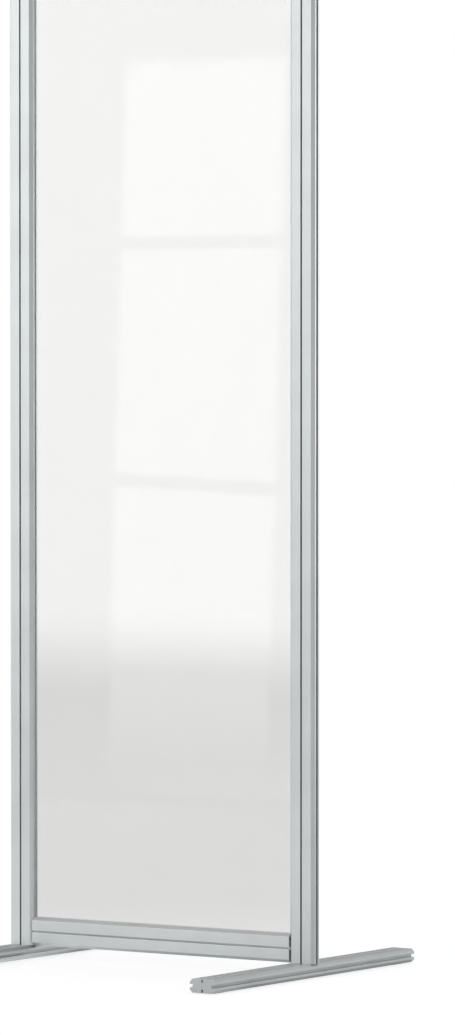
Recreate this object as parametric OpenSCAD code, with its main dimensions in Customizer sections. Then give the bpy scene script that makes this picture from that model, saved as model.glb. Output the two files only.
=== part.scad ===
// Free-standing room divider: a clear sheet in a frame of slotted extrusion on two cross feet.
// Uprights, rails and feet are cut from one extrusion, a flat octagon with a slot in each main face.
// X runs across the screen, Y through it from front to rear, and Z up.
// The origin is on the floor, below the middle of the screen. All sizes are in millimetres.

/* [Screen] */
// Width over both uprights
screen_w = 600; // [450:10:1200]
// Height from the floor to the top of the upright caps
screen_h = 1800; // [1200:10:2100]
// Length of each foot over its end caps
foot_l = 590; // [400:10:700]

/* [Extrusion] */
// Width of the extrusion over its narrow faces
section_w = 46.5; // [46:0.5:60]
// Depth of the extrusion over its wide faces
section_d = 22; // [21.5:0.5:28]
// Leg of the 45 degree chamfer on each of its four corners
chamfer = 4.8; // [3:0.1:5.2]
// Thickness of its outer wall and of the lips of its slots
wall = 1.6; // [1.3:0.1:1.8]
// Thickness of its inner webs
web = 1.5; // [1.2:0.1:1.6]
// Bore of the two round screw ports
port_d = 5; // [4.5:0.1:5.5]
// Thickness of the ring around each screw port
port_wall = 1.8; // [1.4:0.1:2]

/* [Slots in the wide faces] */
// Opening between the lips
face_slot_w = 3; // [2.5:0.1:4]
// Width of the undercut behind the lips
face_pocket_w = 7; // [6:0.1:7.2]
// Depth from the face to the floor of the slot
face_slot_depth = 5.5; // [4.5:0.1:6]

/* [Slots in the narrow faces] */
// Opening between the lips, which takes the sheet or a link strip
edge_slot_w = 5; // [4.4:0.1:6]
// Width of the undercut behind the lips
edge_pocket_w = 8.4; // [7.4:0.1:8.8]
// Depth from the face to the floor of the slot
edge_slot_depth = 5.5; // [5.3:0.1:6]

/* [Sheet and glazing strips] */
// Thickness of the clear sheet
sheet_t = 3; // [2:0.5:4]
// How far the edge of the sheet goes into its slots
sheet_bite = 4.4; // [3.5:0.1:4.6]
// Thickness of the glazing strip under the edge of the sheet
strip_base = 0.8; // [0.5:0.1:1]
// Clearance between the barbs of a glazing strip and the sides of the undercut
strip_clear = 0.3; // [0.1:0.1:0.6]
// Height of the bead that a glazing strip shows outside the slot
strip_bead = 0.6; // [0.3:0.1:1.2]

/* [Corner locks] */
// Length of the lock bar inside the rail
lock_l = 40; // [32:1:60]
// Height of the head that hooks into the slot of the upright
lock_head_h = 30; // [20:1:34]
// Clearance around the lock in the rail and in the slot of the upright
lock_fit = 0.2; // [0.1:0.05:0.4]
// Thread size of the two set screws of a lock
lock_screw_d = 4; // [3:0.5:4.5]
// Distance from the tip of a set screw to the front side of the core
lock_screw_tip = 1.3; // [0.5:0.1:2]
// Distance from the end of the rail to the first set screw
lock_screw_first = 12; // [8:1:16]
// Distance between the two set screws
lock_screw_pitch = 16; // [10:1:18]

/* [Foot screws] */
// Thread size of the two screws that hold each upright on its foot
foot_screw_d = 6; // [5:0.5:6]
// Length of a foot screw below its head
foot_screw_l = 25; // [16:1:35]
// Diameter of the head
foot_screw_head_d = 10; // [8:0.5:10]
// Height of the head
foot_screw_head_h = 6; // [3:0.5:7]
// Clearance around the head in the access hole under the foot
access_clear = 0.5; // [0.3:0.1:0.6]

/* [Caps] */
// Thickness of the plate of a foot end cap
foot_cap_t = 3; // [2:0.5:5]
// Thickness of the plate of an upright top cap
top_cap_t = 2.5; // [2:0.5:5]
// Bevel around the outer edge of a cap plate
cap_bevel = 0.6; // [0.2:0.1:1]
// Length of the plugs that hold a cap in the extrusion
plug_l = 12; // [6:1:20]
// Wall of the hollow plugs
plug_wall = 1.2; // [0.8:0.1:1.6]
// Clearance between a plug and the chamber around it
plug_fit = 0.2; // [0.1:0.05:0.4]

/* [Floor pads] */
// Width of a pad across the foot
pad_w = 24; // [16:1:36]
// Length of a pad along the foot
pad_l = 34; // [20:1:60]
// Thickness of a pad
pad_t = 1.5; // [1:0.5:4]
// Corner chamfer of a pad
pad_corner = 3; // [1:0.5:6]
// Distance from the end of the extrusion to the pad
pad_inset = 12; // [5:1:60]

/* [Hidden] */
// Smoothness of round shapes
$fn = 48;
// How far a cut runs past the face that it opens
cut = 1;
// Radial clearance of a thread in its tapped hole
thread_clear = 0.1;
// Radial clearance of a screw in a plain hole
hole_clear = 0.3;
// Distance that a set screw lies below the floor of the slot
set_screw_sink = 0.2;
// Depth of the tapped hole past the end of a foot screw
tap_runout = 3;
// Size across flats of the hexagon sockets, as a share of the thread size
socket_share = 0.5;
foot_socket_share = 5 / 6;
// Lead-in chamfer at the free end of a lock bar, a plug and a screw
lead_in = 0.8;

half_w = section_w / 2;
half_d = section_d / 2;
// Levels in the extrusion, measured from its centre line
face_floor = half_d - face_slot_depth;
edge_floor = half_w - edge_slot_depth;
inner_half_w = half_w - wall;
inner_half_d = half_d - wall;
// The core is the middle chamber, between the two face slots
core_half_w = face_pocket_w / 2;
core_half_d = face_floor - web;
// Each side chamber lies between the web of a face slot and the web of an edge slot
chamber_in = core_half_w + web;
chamber_out = edge_floor - web;
port_x = (chamber_in + chamber_out) / 2;
port_ring_r = port_d / 2 + port_wall;

// Levels and lengths of the frame
foot_bar_l = foot_l - 2 * foot_cap_t;
foot_mid_z = pad_t + half_d;
foot_top_z = pad_t + section_d;
post_top_z = screen_h - top_cap_t;
post_l = post_top_z - foot_top_z;
post_x = screen_w / 2 - half_w;
rail_half_l = screen_w / 2 - section_w;
low_rail_z = foot_top_z + half_w;
high_rail_z = post_top_z - half_w;

// The sheet, from the floor of its bite in one slot to the other
sheet_half_w = rail_half_l + sheet_bite;
sheet_low_z = low_rail_z + half_w - sheet_bite;
sheet_high_z = high_rail_z - half_w + sheet_bite;

// Places of the set screws along a rail, from its end
lock_screw_places = [lock_screw_first, lock_screw_first + lock_screw_pitch];
lock_screw_top = face_floor - set_screw_sink;
lock_screw_l = lock_screw_top + core_half_d - lock_screw_tip;
access_d = foot_screw_head_d + 2 * access_clear;
seat_z = foot_mid_z + inner_half_d;

// Rectangle with its four corners cut at 45 degrees
module octagon(w, d, c) {
    x = w / 2;
    y = d / 2;
    polygon([
        [x - c, -y], [x, -y + c], [x, y - c], [x - c, y],
        [-x + c, y], [-x, y - c], [-x, -y + c], [-x + c, -y]
    ]);
}

// Slot openings only, from each face down to the floor of the slot
module slot_openings() {
    for (side = [-1, 1]) {
        translate([0, side * (face_floor + face_slot_depth / 2 + cut / 2)])
            square([face_slot_w, face_slot_depth + cut], center = true);
        translate([side * (edge_floor + edge_slot_depth / 2 + cut / 2), 0])
            square([edge_slot_depth + cut, edge_slot_w], center = true);
    }
}

// Undercuts behind the lips of the four slots
module slot_pockets() {
    face_pocket_h = inner_half_d - face_floor;
    edge_pocket_h = inner_half_w - edge_floor;
    for (side = [-1, 1]) {
        translate([0, side * (face_floor + face_pocket_h / 2)])
            square([face_pocket_w, face_pocket_h], center = true);
        translate([side * (edge_floor + edge_pocket_h / 2), 0])
            square([edge_pocket_h, edge_pocket_w], center = true);
    }
}

// Webs around the four slots, the rib along the middle and the rings of the screw ports
module skeleton() {
    square([2 * chamber_in, section_d], center = true);
    square([2 * edge_floor, web], center = true);
    for (side = [-1, 1]) {
        translate([side * (chamber_out + half_w) / 2, 0])
            square([half_w - chamber_out, edge_pocket_w + 2 * web], center = true);
        translate([side * port_x, 0])
            circle(r = port_ring_r);
    }
}

// Cross-section of the extrusion: wide along X, narrow along Y
module section() {
    // Insetting an octagon by the wall shortens the legs of its chamfers by this share of the wall
    inset_share = 2 - sqrt(2);
    difference() {
        octagon(section_w, section_d, chamfer);
        difference() {
            octagon(2 * inner_half_w, 2 * inner_half_d, chamfer - inset_share * wall);
            skeleton();
        }
        square([2 * core_half_w, 2 * core_half_d], center = true);
        slot_openings();
        slot_pockets();
        for (side = [-1, 1])
            translate([side * port_x, 0])
                circle(d = port_d);
    }
}

// Post from the foot to the cap, with its screw ports tapped at the bottom
module upright(side) {
    tap_depth = foot_screw_l - wall + tap_runout;
    color("silver")
        translate([side * post_x, 0, foot_top_z])
            difference() {
                linear_extrude(post_l)
                    section();
                for (port = [-1, 1])
                    translate([port * port_x, 0, -cut])
                        cylinder(d = foot_screw_d + 2 * thread_clear, h = tap_depth + cut);
            }
}

// Rail between the uprights, drilled through its rear slot for the set screws of both locks
module rail(mid_z) {
    color("silver")
        translate([0, 0, mid_z])
            difference() {
                translate([-rail_half_l, 0, 0])
                    rotate([0, 90, 0])
                        linear_extrude(2 * rail_half_l)
                            section();
                for (side = [-1, 1], place = lock_screw_places)
                    translate([side * (rail_half_l - place), core_half_d - cut, 0])
                        rotate([-90, 0, 0])
                            cylinder(d = lock_screw_d + 2 * thread_clear, h = half_d);
            }
}

// Foot on its wide face, drilled for the two screws: access from below and a plain hole above
module foot(side) {
    color("silver")
        translate([side * post_x, 0, foot_mid_z])
            difference() {
                translate([0, -foot_bar_l / 2, 0])
                    rotate([-90, 0, 0])
                        linear_extrude(foot_bar_l)
                            section();
                for (port = [-1, 1])
                    translate([port * port_x, 0, 0]) {
                        translate([0, 0, -half_d - cut])
                            cylinder(d = access_d, h = half_d + cut + inner_half_d);
                        cylinder(d = foot_screw_d + 2 * hole_clear, h = half_d + cut);
                    }
            }
}

// Clear sheet, with its four edges in the inner slots of the frame
module acrylic_panel() {
    color([0.93, 0.95, 0.96, 0.35])
        translate([-sheet_half_w, -sheet_t / 2, sheet_low_z])
            cube([2 * sheet_half_w, sheet_t, sheet_high_z - sheet_low_z]);
}

// Cross-section of a glazing strip: a channel for the edge of the sheet, with barbs behind the lips.
// Y is the depth in the slot, zero at the face of the extrusion and negative outside it.
module strip_section() {
    leg_in = sheet_t / 2;
    leg_out = edge_slot_w / 2;
    barb = edge_pocket_w / 2 - strip_clear;
    base = sheet_bite + strip_base;
    bead = leg_in + (leg_out - leg_in) / 2;
    polygon([
        [leg_in, -strip_bead], [bead, -strip_bead], [leg_out, 0], [leg_out, wall],
        [barb, wall], [leg_out, base],
        [-leg_out, base], [-barb, wall],
        [-leg_out, wall], [-leg_out, 0], [-bead, -strip_bead], [-leg_in, -strip_bead],
        [-leg_in, sheet_bite], [leg_in, sheet_bite]
    ]);
}

// Glazing strip in the inner slot of an upright, between the beads of the strips in the rails
module side_strip(side) {
    low_z = low_rail_z + half_w + strip_bead;
    high_z = high_rail_z - half_w - strip_bead;
    color("lightgray")
        translate([side * rail_half_l, 0, low_z])
            rotate([0, 0, -side * 90])
                linear_extrude(high_z - low_z)
                    strip_section();
}

// Turns a shape drawn on XY so that its X runs along Y, its Y along Z and its height along X
module lay_along_x() {
    rotate([90, 0, 90])
        children();
}

// Glazing strip in the inner slot of a rail; level is -1 for the bottom rail and 1 for the top rail
module rail_strip(level) {
    face_z = level < 0 ? low_rail_z + half_w : high_rail_z - half_w;
    color("lightgray")
        translate([-rail_half_l, 0, face_z])
            mirror([0, 0, level < 0 ? 1 : 0])
                lay_along_x()
                    linear_extrude(2 * rail_half_l)
                        strip_section();
}

// Puts a shape at the inner face of an upright, with +X pointing into the rail
module at_corner(side, level) {
    translate([side * rail_half_l, 0, level < 0 ? low_rail_z : high_rail_z])
        mirror([side > 0 ? 1 : 0, 0, 0])
            children();
}

// Bar of chamfered section along +X with a chamfered free end
module pointed_bar(l, w, h, c) {
    intersection() {
        lay_along_x()
            linear_extrude(l)
                octagon(w, h, c);
        translate([0, 0, -h / 2])
            linear_extrude(h)
                polygon([
                    [0, -w / 2], [l - c, -w / 2], [l, -w / 2 + c],
                    [l, w / 2 - c], [l - c, w / 2], [0, w / 2]
                ]);
    }
}

// Cast lock: a head behind the lips of the upright's slot, a neck through its opening,
// and a bar in the core of the rail that takes two set screws
module corner_lock(side, level) {
    head_t = edge_slot_depth - wall - 2 * lock_fit;
    neck_w = edge_slot_w - 2 * lock_fit;
    bar_w = 2 * (core_half_d - lock_fit);
    bar_h = 2 * (core_half_w - lock_fit);
    color("darkgray")
        at_corner(side, level)
            difference() {
                union() {
                    translate([-wall - head_t, 0, 0])
                        lay_along_x()
                            linear_extrude(head_t)
                                octagon(edge_pocket_w - 2 * lock_fit, lock_head_h, lead_in);
                    translate([-wall - head_t / 2, 0, 0])
                        lay_along_x()
                            linear_extrude(wall + head_t / 2 - lock_fit)
                                octagon(neck_w, lock_head_h, lead_in);
                    translate([-wall, 0, 0])
                        lay_along_x()
                            linear_extrude(wall + lead_in)
                                octagon(neck_w, bar_h, lead_in);
                    pointed_bar(lock_l, bar_w, bar_h, lead_in);
                }
                for (place = lock_screw_places)
                    translate([place, -half_d, 0])
                        rotate([-90, 0, 0])
                            cylinder(d = lock_screw_d + 2 * thread_clear, h = section_d);
            }
}

// Screw along -Z from the origin: a chamfered shank, with a hexagon socket in its top or its head
module screw(d, l, socket_flats, head_d = 0, head_h = 0) {
    tip = d / 8;
    difference() {
        union() {
            translate([0, 0, tip - l])
                cylinder(d = d, h = l - tip + head_h / 2);
            translate([0, 0, -l])
                cylinder(d1 = d - 2 * tip, d2 = d, h = tip);
            if (head_h > 0)
                cylinder(d = head_d, h = head_h);
        }
        translate([0, 0, head_h - socket_flats])
            cylinder(d = socket_flats / cos(30), h = socket_flats + cut, $fn = 6);
    }
}

// The two set screws of a corner lock, turned in from the rear slot of the rail
module lock_screws(side, level) {
    color("dimgray")
        at_corner(side, level)
            for (place = lock_screw_places)
                translate([place, lock_screw_top, 0])
                    rotate([-90, 0, 0])
                        screw(lock_screw_d, lock_screw_l, socket_share * lock_screw_d);
}

// The two screws that pass up through the top wall of a foot into the ports of the upright
module foot_screws(side) {
    color("dimgray")
        for (port = [-1, 1])
            translate([side * post_x + port * port_x, 0, seat_z])
                rotate([180, 0, 0])
                    screw(foot_screw_d, foot_screw_l, foot_socket_share * foot_screw_d,
                        foot_screw_head_d, foot_screw_head_h);
}

// Profile of a plate of width w and thickness t, with both outer edges bevelled
module bevelled_profile(w, t) {
    x = w / 2;
    polygon([
        [-x, 0], [x, 0], [x, t - cap_bevel],
        [x - cap_bevel, t], [-x + cap_bevel, t], [-x, t - cap_bevel]
    ]);
}

// Moulded cap on the end of the extrusion, which lies at the origin and points along +Z.
// The plate follows the section and leaves its slots open; four hollow plugs fill the chambers.
module cap(plate_t) {
    plug_w = chamber_out - chamber_in - 2 * plug_fit;
    plug_h = inner_half_d - port_ring_r - 2 * plug_fit;
    plug_y = (inner_half_d + port_ring_r) / 2;
    intersection() {
        linear_extrude(plate_t)
            difference() {
                octagon(section_w, section_d, chamfer);
                slot_openings();
            }
        translate([0, half_d, 0])
            rotate([90, 0, 0])
                linear_extrude(section_d)
                    bevelled_profile(section_w, plate_t);
        translate([-half_w, 0, 0])
            lay_along_x()
                linear_extrude(section_w)
                    bevelled_profile(section_d, plate_t);
    }
    for (side_x = [-1, 1], side_y = [-1, 1])
        translate([side_x * port_x, side_y * plug_y, -plug_l])
            difference() {
                linear_extrude(plug_l + plate_t / 2)
                    octagon(plug_w, plug_h, lead_in);
                translate([0, 0, -cut])
                    linear_extrude(plug_l + cut)
                        octagon(plug_w - 2 * plug_wall, plug_h - 2 * plug_wall, lead_in / 2);
            }
}

// Cap on the top of an upright
module upright_cap(side) {
    color("lightsteelblue")
        translate([side * post_x, 0, post_top_z])
            cap(top_cap_t);
}

// Cap on one end of a foot; end is -1 for the front and 1 for the rear
module foot_cap(side, end) {
    color("lightsteelblue")
        translate([side * post_x, end * foot_bar_l / 2, foot_mid_z])
            rotate([-end * 90, 0, 0])
                cap(foot_cap_t);
}

// Soft pad under one end of a foot
module floor_pad(side, end) {
    color("dimgray")
        translate([side * post_x, end * (foot_bar_l / 2 - pad_inset - pad_l / 2), 0])
            linear_extrude(pad_t)
                octagon(pad_w, pad_l, pad_corner);
}

upright(-1);  // upright_left
upright(1);  // upright_right
rail(high_rail_z);  // top_rail
rail(low_rail_z);  // bottom_rail
foot(-1);  // foot_left
foot(1);  // foot_right
acrylic_panel();
side_strip(-1);  // glazing_strip_left
side_strip(1);  // glazing_strip_right
rail_strip(1);  // glazing_strip_top
rail_strip(-1);  // glazing_strip_bottom
corner_lock(-1, 1);  // corner_lock_top_left
corner_lock(1, 1);  // corner_lock_top_right
corner_lock(-1, -1);  // corner_lock_bottom_left
corner_lock(1, -1);  // corner_lock_bottom_right
lock_screws(-1, 1);  // lock_screws_top_left
lock_screws(1, 1);  // lock_screws_top_right
lock_screws(-1, -1);  // lock_screws_bottom_left
lock_screws(1, -1);  // lock_screws_bottom_right
foot_screws(-1);  // foot_screws_left
foot_screws(1);  // foot_screws_right
upright_cap(-1);  // upright_cap_left
upright_cap(1);  // upright_cap_right
foot_cap(-1, -1);  // foot_cap_left_front
foot_cap(-1, 1);  // foot_cap_left_rear
foot_cap(1, -1);  // foot_cap_right_front
foot_cap(1, 1);  // foot_cap_right_rear
floor_pad(-1, -1);  // floor_pad_left_front
floor_pad(-1, 1);  // floor_pad_left_rear
floor_pad(1, -1);  // floor_pad_right_front
floor_pad(1, 1);  // floor_pad_right_rear
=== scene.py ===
"""Dresses a free-standing room divider: a clear sheet in a frame of slotted extrusion on two feet.

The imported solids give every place. All pieces but the cast corner locks are made again here with
the radii, threads and small forms that their solids leave out, and every piece gets its finish.
"""

import math

import bpy
import numpy as np
from mathutils.geometry import tessellate_polygon
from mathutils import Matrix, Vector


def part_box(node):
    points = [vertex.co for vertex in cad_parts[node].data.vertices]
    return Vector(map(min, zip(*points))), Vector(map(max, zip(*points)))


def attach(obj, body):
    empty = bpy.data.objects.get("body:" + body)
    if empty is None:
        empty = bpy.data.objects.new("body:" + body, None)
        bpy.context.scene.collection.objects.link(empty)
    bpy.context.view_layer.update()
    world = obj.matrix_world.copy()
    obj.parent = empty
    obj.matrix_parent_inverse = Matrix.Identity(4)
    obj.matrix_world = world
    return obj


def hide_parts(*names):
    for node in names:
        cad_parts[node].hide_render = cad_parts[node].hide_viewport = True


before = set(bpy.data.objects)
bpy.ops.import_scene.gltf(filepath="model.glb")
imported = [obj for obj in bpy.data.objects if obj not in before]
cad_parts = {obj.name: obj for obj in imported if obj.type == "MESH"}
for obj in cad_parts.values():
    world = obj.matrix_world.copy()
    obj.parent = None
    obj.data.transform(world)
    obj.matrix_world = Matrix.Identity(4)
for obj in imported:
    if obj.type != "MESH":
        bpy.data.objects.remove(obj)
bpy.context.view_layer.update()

bl_info = {
    "name": "Acrylic room divider",
    "version": (1, 0, 0),
    "blender": (4, 5, 0),
    "location": "3D View > Sidebar > Divider",
    "description": "Sweeps and finishes the pieces of a framed clear room divider",
    "category": "Add Mesh",
}

MM = 0.001
BODY = "root"
SIDES = ("left", "right")
LEVELS = ("top", "bottom")
ENDS = ("front", "rear")

# Mesh: how far a guard point or ring lies from an arc or an edge, the largest share of a side's
# free length that it takes, the steps of an arc, the points of a port and of the ring's arc around
# it, and the angle from which shading stays sharp
GUARD = 0.8 * MM
GUARD_SHARE = 0.4
ARC_STEPS = 4
PORT_POINTS = 32
RING_POINTS = 13
SHARP_ANGLE = math.radians(32)

# Castings: the gap over which their loose triangles are welded, and the angle of a rounded edge
WELD_GAP = 0.005 * MM
CAST_EDGE_ANGLE = math.radians(30)

# Drills: how far they run past the metal, and the chamfer at the mouth of a hole
DRILL_PAST = 1 * MM
DRILL_RELIEF = 0.4 * MM

# Glazing strips: the broken edge of a cut end, and the ring behind it
STRIP_CUT = 0.08 * MM
STRIP_GUARD = 0.4 * MM

# Cap plugs: radii of their outer corners and of the corners of their bores
PLUG_RADIUS = 0.3 * MM
PLUG_BORE_RADIUS = 0.2 * MM

# Screws: depth of a thread as a share of its pitch, how steep it is and how far its crest stays
# flat, rings in one pitch, plain share of a long shank, spokes with and without a head, and the
# knurl around a head
THREAD_DEPTH = 0.6
THREAD_STEEPNESS = 1.25
THREAD_CREST = 0.12
ROWS_PER_PITCH = 10
PLAIN_SHANK = 0.25
HEAD_SPOKES = 96
SHANK_SPOKES = 48
KNURL_DEPTH = 0.12 * MM
KNURL_RIDGES = 24

# Pads: rows of points along one and, in shares of the half width, where the grooves end, where the
# flat rim starts and the last column before the edge
PAD_ROWS = 97
GROOVE_END = 0.86
RIM_START = 0.9
RIM_END = 0.985

# Edge wear: the sum of edge and noise from which it shows, how sharply it starts, and how much
# lighter a rubbed edge is
WEAR_FROM = 1.15
WEAR_SHARPNESS = 4.0
RUBBED_SHADE = 1.15

# Dust: the upward share of a normal from which it lies, how fast it thickens, the scales of its
# specks and patches, and its colour on metal, on soft and moulded plastic, and on rubber
DUST_TILT = 0.3
DUST_GAIN = 1.4
SPECK_SCALE = 900.0
PATCH_SCALE = 18.0
METAL_DUST = (0.62, 0.60, 0.57, 1.0)
PLASTIC_DUST = (0.60, 0.58, 0.55, 1.0)
RUBBER_DUST = (0.4, 0.39, 0.37, 1.0)

# Extrusion: how far its die lines are drawn out, and how metallic it looks outside and inside
DIE_LINE_SQUEEZE = 0.004
OUTER_METALLIC = 0.88
INNER_METALLIC = 0.1

# Index of refraction of cast acrylic
ACRYLIC_IOR = 1.49

# Directions of a bar's width, depth and length, by the axis that it runs along, and for the front
# cap of a foot. Each set is right-handed, so that a swept outline has its faces outwards.
RUNS = {
    "x": ((0, 0, -1), (0, 1, 0), (1, 0, 0)),
    "y": ((-1, 0, 0), (0, 0, 1), (0, 1, 0)),
    "z": ((1, 0, 0), (0, 1, 0), (0, 0, 1)),
}
FORWARD = ((1, 0, 0), (0, 0, 1), (0, -1, 0))

# Camera, in metres and degrees
CAMERA_PLACE = (5.4172, -7.9186, 1.0)
CAMERA_PITCH = 1.585
CAMERA_YAW = 33.742
CAMERA_LENS_MM = 205.157
SENSOR_MM = 36.0

# Level directions from the divider to the window and to the walls beside it
WINDOW_WAY = (-0.555, -0.832, 0.0)
BRIGHT_WALL_WAY = (0.832, -0.555, 0.0)
LEFT_WALL_WAY = (-0.94, 0.34, 0.0)

# How far a direction follows one of those, from where its wall starts to show to where it is full.
# The dim wall lies opposite the bright one, and the ceiling goes by the direction's height.
WINDOW_TURN = (0.2, 0.8)
BRIGHT_TURN = (-0.4, 0.6)
DIM_TURN = (-0.1, -0.6)
LEFT_TURN = (0.85, 0.98)
CEILING_TURN = (0.45, 0.85)

# Soft window at the front left, in the plane y = WINDOW_Y: its edges, where its foot fades in,
# where its upper part grows brighter and by how much, and its gain for each metre up
WINDOW_Y = -3.0
WINDOW_X = (-2.50, -1.62)
WINDOW_Z = (0.0, 3.4)
WINDOW_FOOT = (0.22, 0.43)
WINDOW_UPPER = (1.85, 2.4)
WINDOW_UPPER_GAIN = 0.8
WINDOW_RISE = 0.06

# Its panes: edges, the height and slope of each bar between them, their lean and the height that
# they lean about, their soft edge and the glow below them
PANES_LEFT = -2.170
PANES_RIGHT = -1.740
PANES_TOP = 1.655
PANE_BARS = ((0.709, -0.042), (1.25, 0.0))
PANE_BAR_H = 0.022
PANE_LEAN = 0.032
PANE_LEAN_ABOUT = 1.0
PANE_SOFTNESS = 0.014
PANE_GLOW = 0.24
PANE_GLOW_RISE = (0.0, 0.3)

# Soft light at the rear right, dimmer towards its foot and its top
RIM_PLACE = (2.4, 3.2, 1.6)
RIM_SIZE = (1.8, 2.6)
RIM_RISE = (0.1, 0.9)
RIM_FOOT_SHARE = 0.35
RIM_FALL = (1.8, 2.6)
RIM_TOP_SHARE = 0.35

# Floor: half its width, and where it fades to plain white. Near the divider its own white and its
# lit grey make up FLOOR_WHITE, and it lights the object as a floor of BOUNCE_GREY would.
FLOOR_REACH = 60.0
FLOOR_FADE = (1.5, 5.0)
FLOOR_WHITE = 1.05
BOUNCE_GREY = 0.75

# Where gloss meets a lighter strip of floor in front of the divider, and how far out the floor
# below the left wall is lighter
SHEEN_START = (-0.05, 0.25)
SHEEN_END = (0.4, 1.3)
LEFT_START = (0.7, 1.5)


def length(name, description, default):
    """A length in metres that a user may change."""
    return bpy.props.FloatProperty(
        name=name, description=description, default=default, min=0.0, precision=5,
        unit="LENGTH", subtype="DISTANCE",
    )


def colour(name, description, default):
    """A colour that a user may change."""
    return bpy.props.FloatVectorProperty(
        name=name, description=description, default=default, size=3, min=0.0, max=1.0,
        subtype="COLOR",
    )


def level(name, description, default):
    """A plain number that a user may change."""
    return bpy.props.FloatProperty(
        name=name, description=description, default=default, min=0.0, max=10.0,
    )


class DividerSection(bpy.types.PropertyGroup):
    """Sizes of the extrusion"""

    chamfer: length("Chamfer", "Leg of the 45 degree chamfer on each corner", 4.8 * MM)
    wall: length("Wall", "Outer wall and slot lips", 1.6 * MM)
    web: length("Web", "Inner webs", 1.5 * MM)
    port_d: length("Port bore", "Bore of the round screw ports", 5 * MM)
    port_wall: length("Port wall", "Ring around each screw port", 1.8 * MM)
    face_slot_w: length("Face slot", "Opening of the slots in the wide faces", 3 * MM)
    face_pocket_w: length("Face undercut", "Undercut behind those lips", 7 * MM)
    face_slot_depth: length("Face slot depth", "From wide face to slot floor", 5.5 * MM)
    edge_slot_w: length("Edge slot", "Opening of the slots in the narrow faces", 5 * MM)
    edge_pocket_w: length("Edge undercut", "Undercut behind those lips", 8.4 * MM)
    edge_slot_depth: length("Edge slot depth", "From narrow face to slot floor", 5.5 * MM)
    corner_radius: length("Corner radius", "Radius where a chamfer meets a face", 0.3 * MM)
    lip_radius: length("Lip radius", "Radius on the outer edges of the slots", 0.2 * MM)
    inner_radius: length("Inner radius", "Radius of the corners inside the section", 0.2 * MM)
    deburr: length("Deburr", "Broken edge around a sawn end", 0.15 * MM)


class DividerFittings(bpy.types.PropertyGroup):
    """Sizes of the sheet, the strips, the caps, the screws, the pads and the castings"""

    sheet_edge: length("Sheet edge", "Polished edge of the sheet", 0.3 * MM)
    sheet_t: length("Sheet", "Thickness of the sheet", 3 * MM)
    sheet_bite: length("Sheet bite", "How far the sheet goes into a slot", 4.4 * MM)
    strip_base: length("Strip base", "Strip under the edge of the sheet", 0.8 * MM)
    strip_bead: length("Strip bead", "Height of the strip outside the slot", 0.6 * MM)
    strip_clear: length("Strip clearance", "Clearance of the barbs in the undercut", 0.3 * MM)
    strip_radius: length("Strip radius", "Radius of the strip's soft edges", 0.22 * MM)
    cap_round: length("Cap edge", "Round around the outer edge of a cap", 0.5 * MM)
    cap_corner: length("Cap corner", "Radius of the corners of a cap's outline", 0.6 * MM)
    plug_l: length("Plug length", "Plugs of a cap", 12 * MM)
    plug_wall: length("Plug wall", "Wall of the hollow plugs", 1.2 * MM)
    plug_fit: length("Plug clearance", "Clearance of a plug in its chamber", 0.2 * MM)
    lead_in: length("Lead-in", "Chamfer at the free end of a plug", 0.8 * MM)
    foot_screw_d: length("Foot screw", "Thread of the foot screws", 6 * MM)
    foot_screw_head_d: length("Foot screw head", "Diameter of their heads", 10 * MM)
    foot_screw_head_h: length("Foot screw head height", "Height of their heads", 6 * MM)
    foot_pitch: length("Foot screw pitch", "Pitch of their threads", 1 * MM)
    lock_screw_d: length("Set screw", "Thread of the set screws", 4 * MM)
    lock_pitch: length("Set screw pitch", "Pitch of their threads", 0.7 * MM)
    thread_clear: length("Thread clearance", "Radial clearance of a thread", 0.1 * MM)
    hole_clear: length("Hole clearance", "Radial clearance of a plain hole", 0.3 * MM)
    access_clear: length("Access clearance", "Clearance around a foot screw's head", 0.5 * MM)
    tap_runout: length("Tap runout", "Tapped depth past the end of a screw", 3 * MM)
    pad_corner: length("Pad corner", "Corner chamfer of a pad", 3 * MM)
    pad_groove: length("Pad groove", "Depth of the grooves under a pad", 0.35 * MM)
    pad_pitch: length("Pad pitch", "Distance between those grooves", 2.5 * MM)
    cast_radius: length("Cast radius", "Radius of the edges of a casting", 0.3 * MM)


class DividerColours(bpy.types.PropertyGroup):
    """Colours of the finishes"""

    metal: colour("Anodised frame", "Satin anodised aluminium", (0.504, 0.528, 0.529))
    # Painted light: the chamber walls are far paler than the metal, to lighten the shaded gaps
    # where they show; only their duller, less metallic finish is their own
    inside: colour("Inside", "Dull walls of the chambers in the extrusion", (0.88, 0.885, 0.89))
    # Painted shade: the sheet's grey stands in for the dimmer room seen through it; the real sheet
    # is clear
    sheet: colour("Sheet", "Tint of the clear sheet", (0.695, 0.695, 0.69))
    strip: colour("Strip", "Soft glazing strip", (0.74, 0.75, 0.76))
    cap: colour("Cap", "Moulded end caps", (0.465, 0.488, 0.488))
    pad: colour("Pad", "Rubber floor pads", (0.035, 0.035, 0.038))
    screw: colour("Screw", "Zinc-plated steel", (0.56, 0.57, 0.58))
    casting: colour("Casting", "Cast corner locks", (0.42, 0.43, 0.45))


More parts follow.
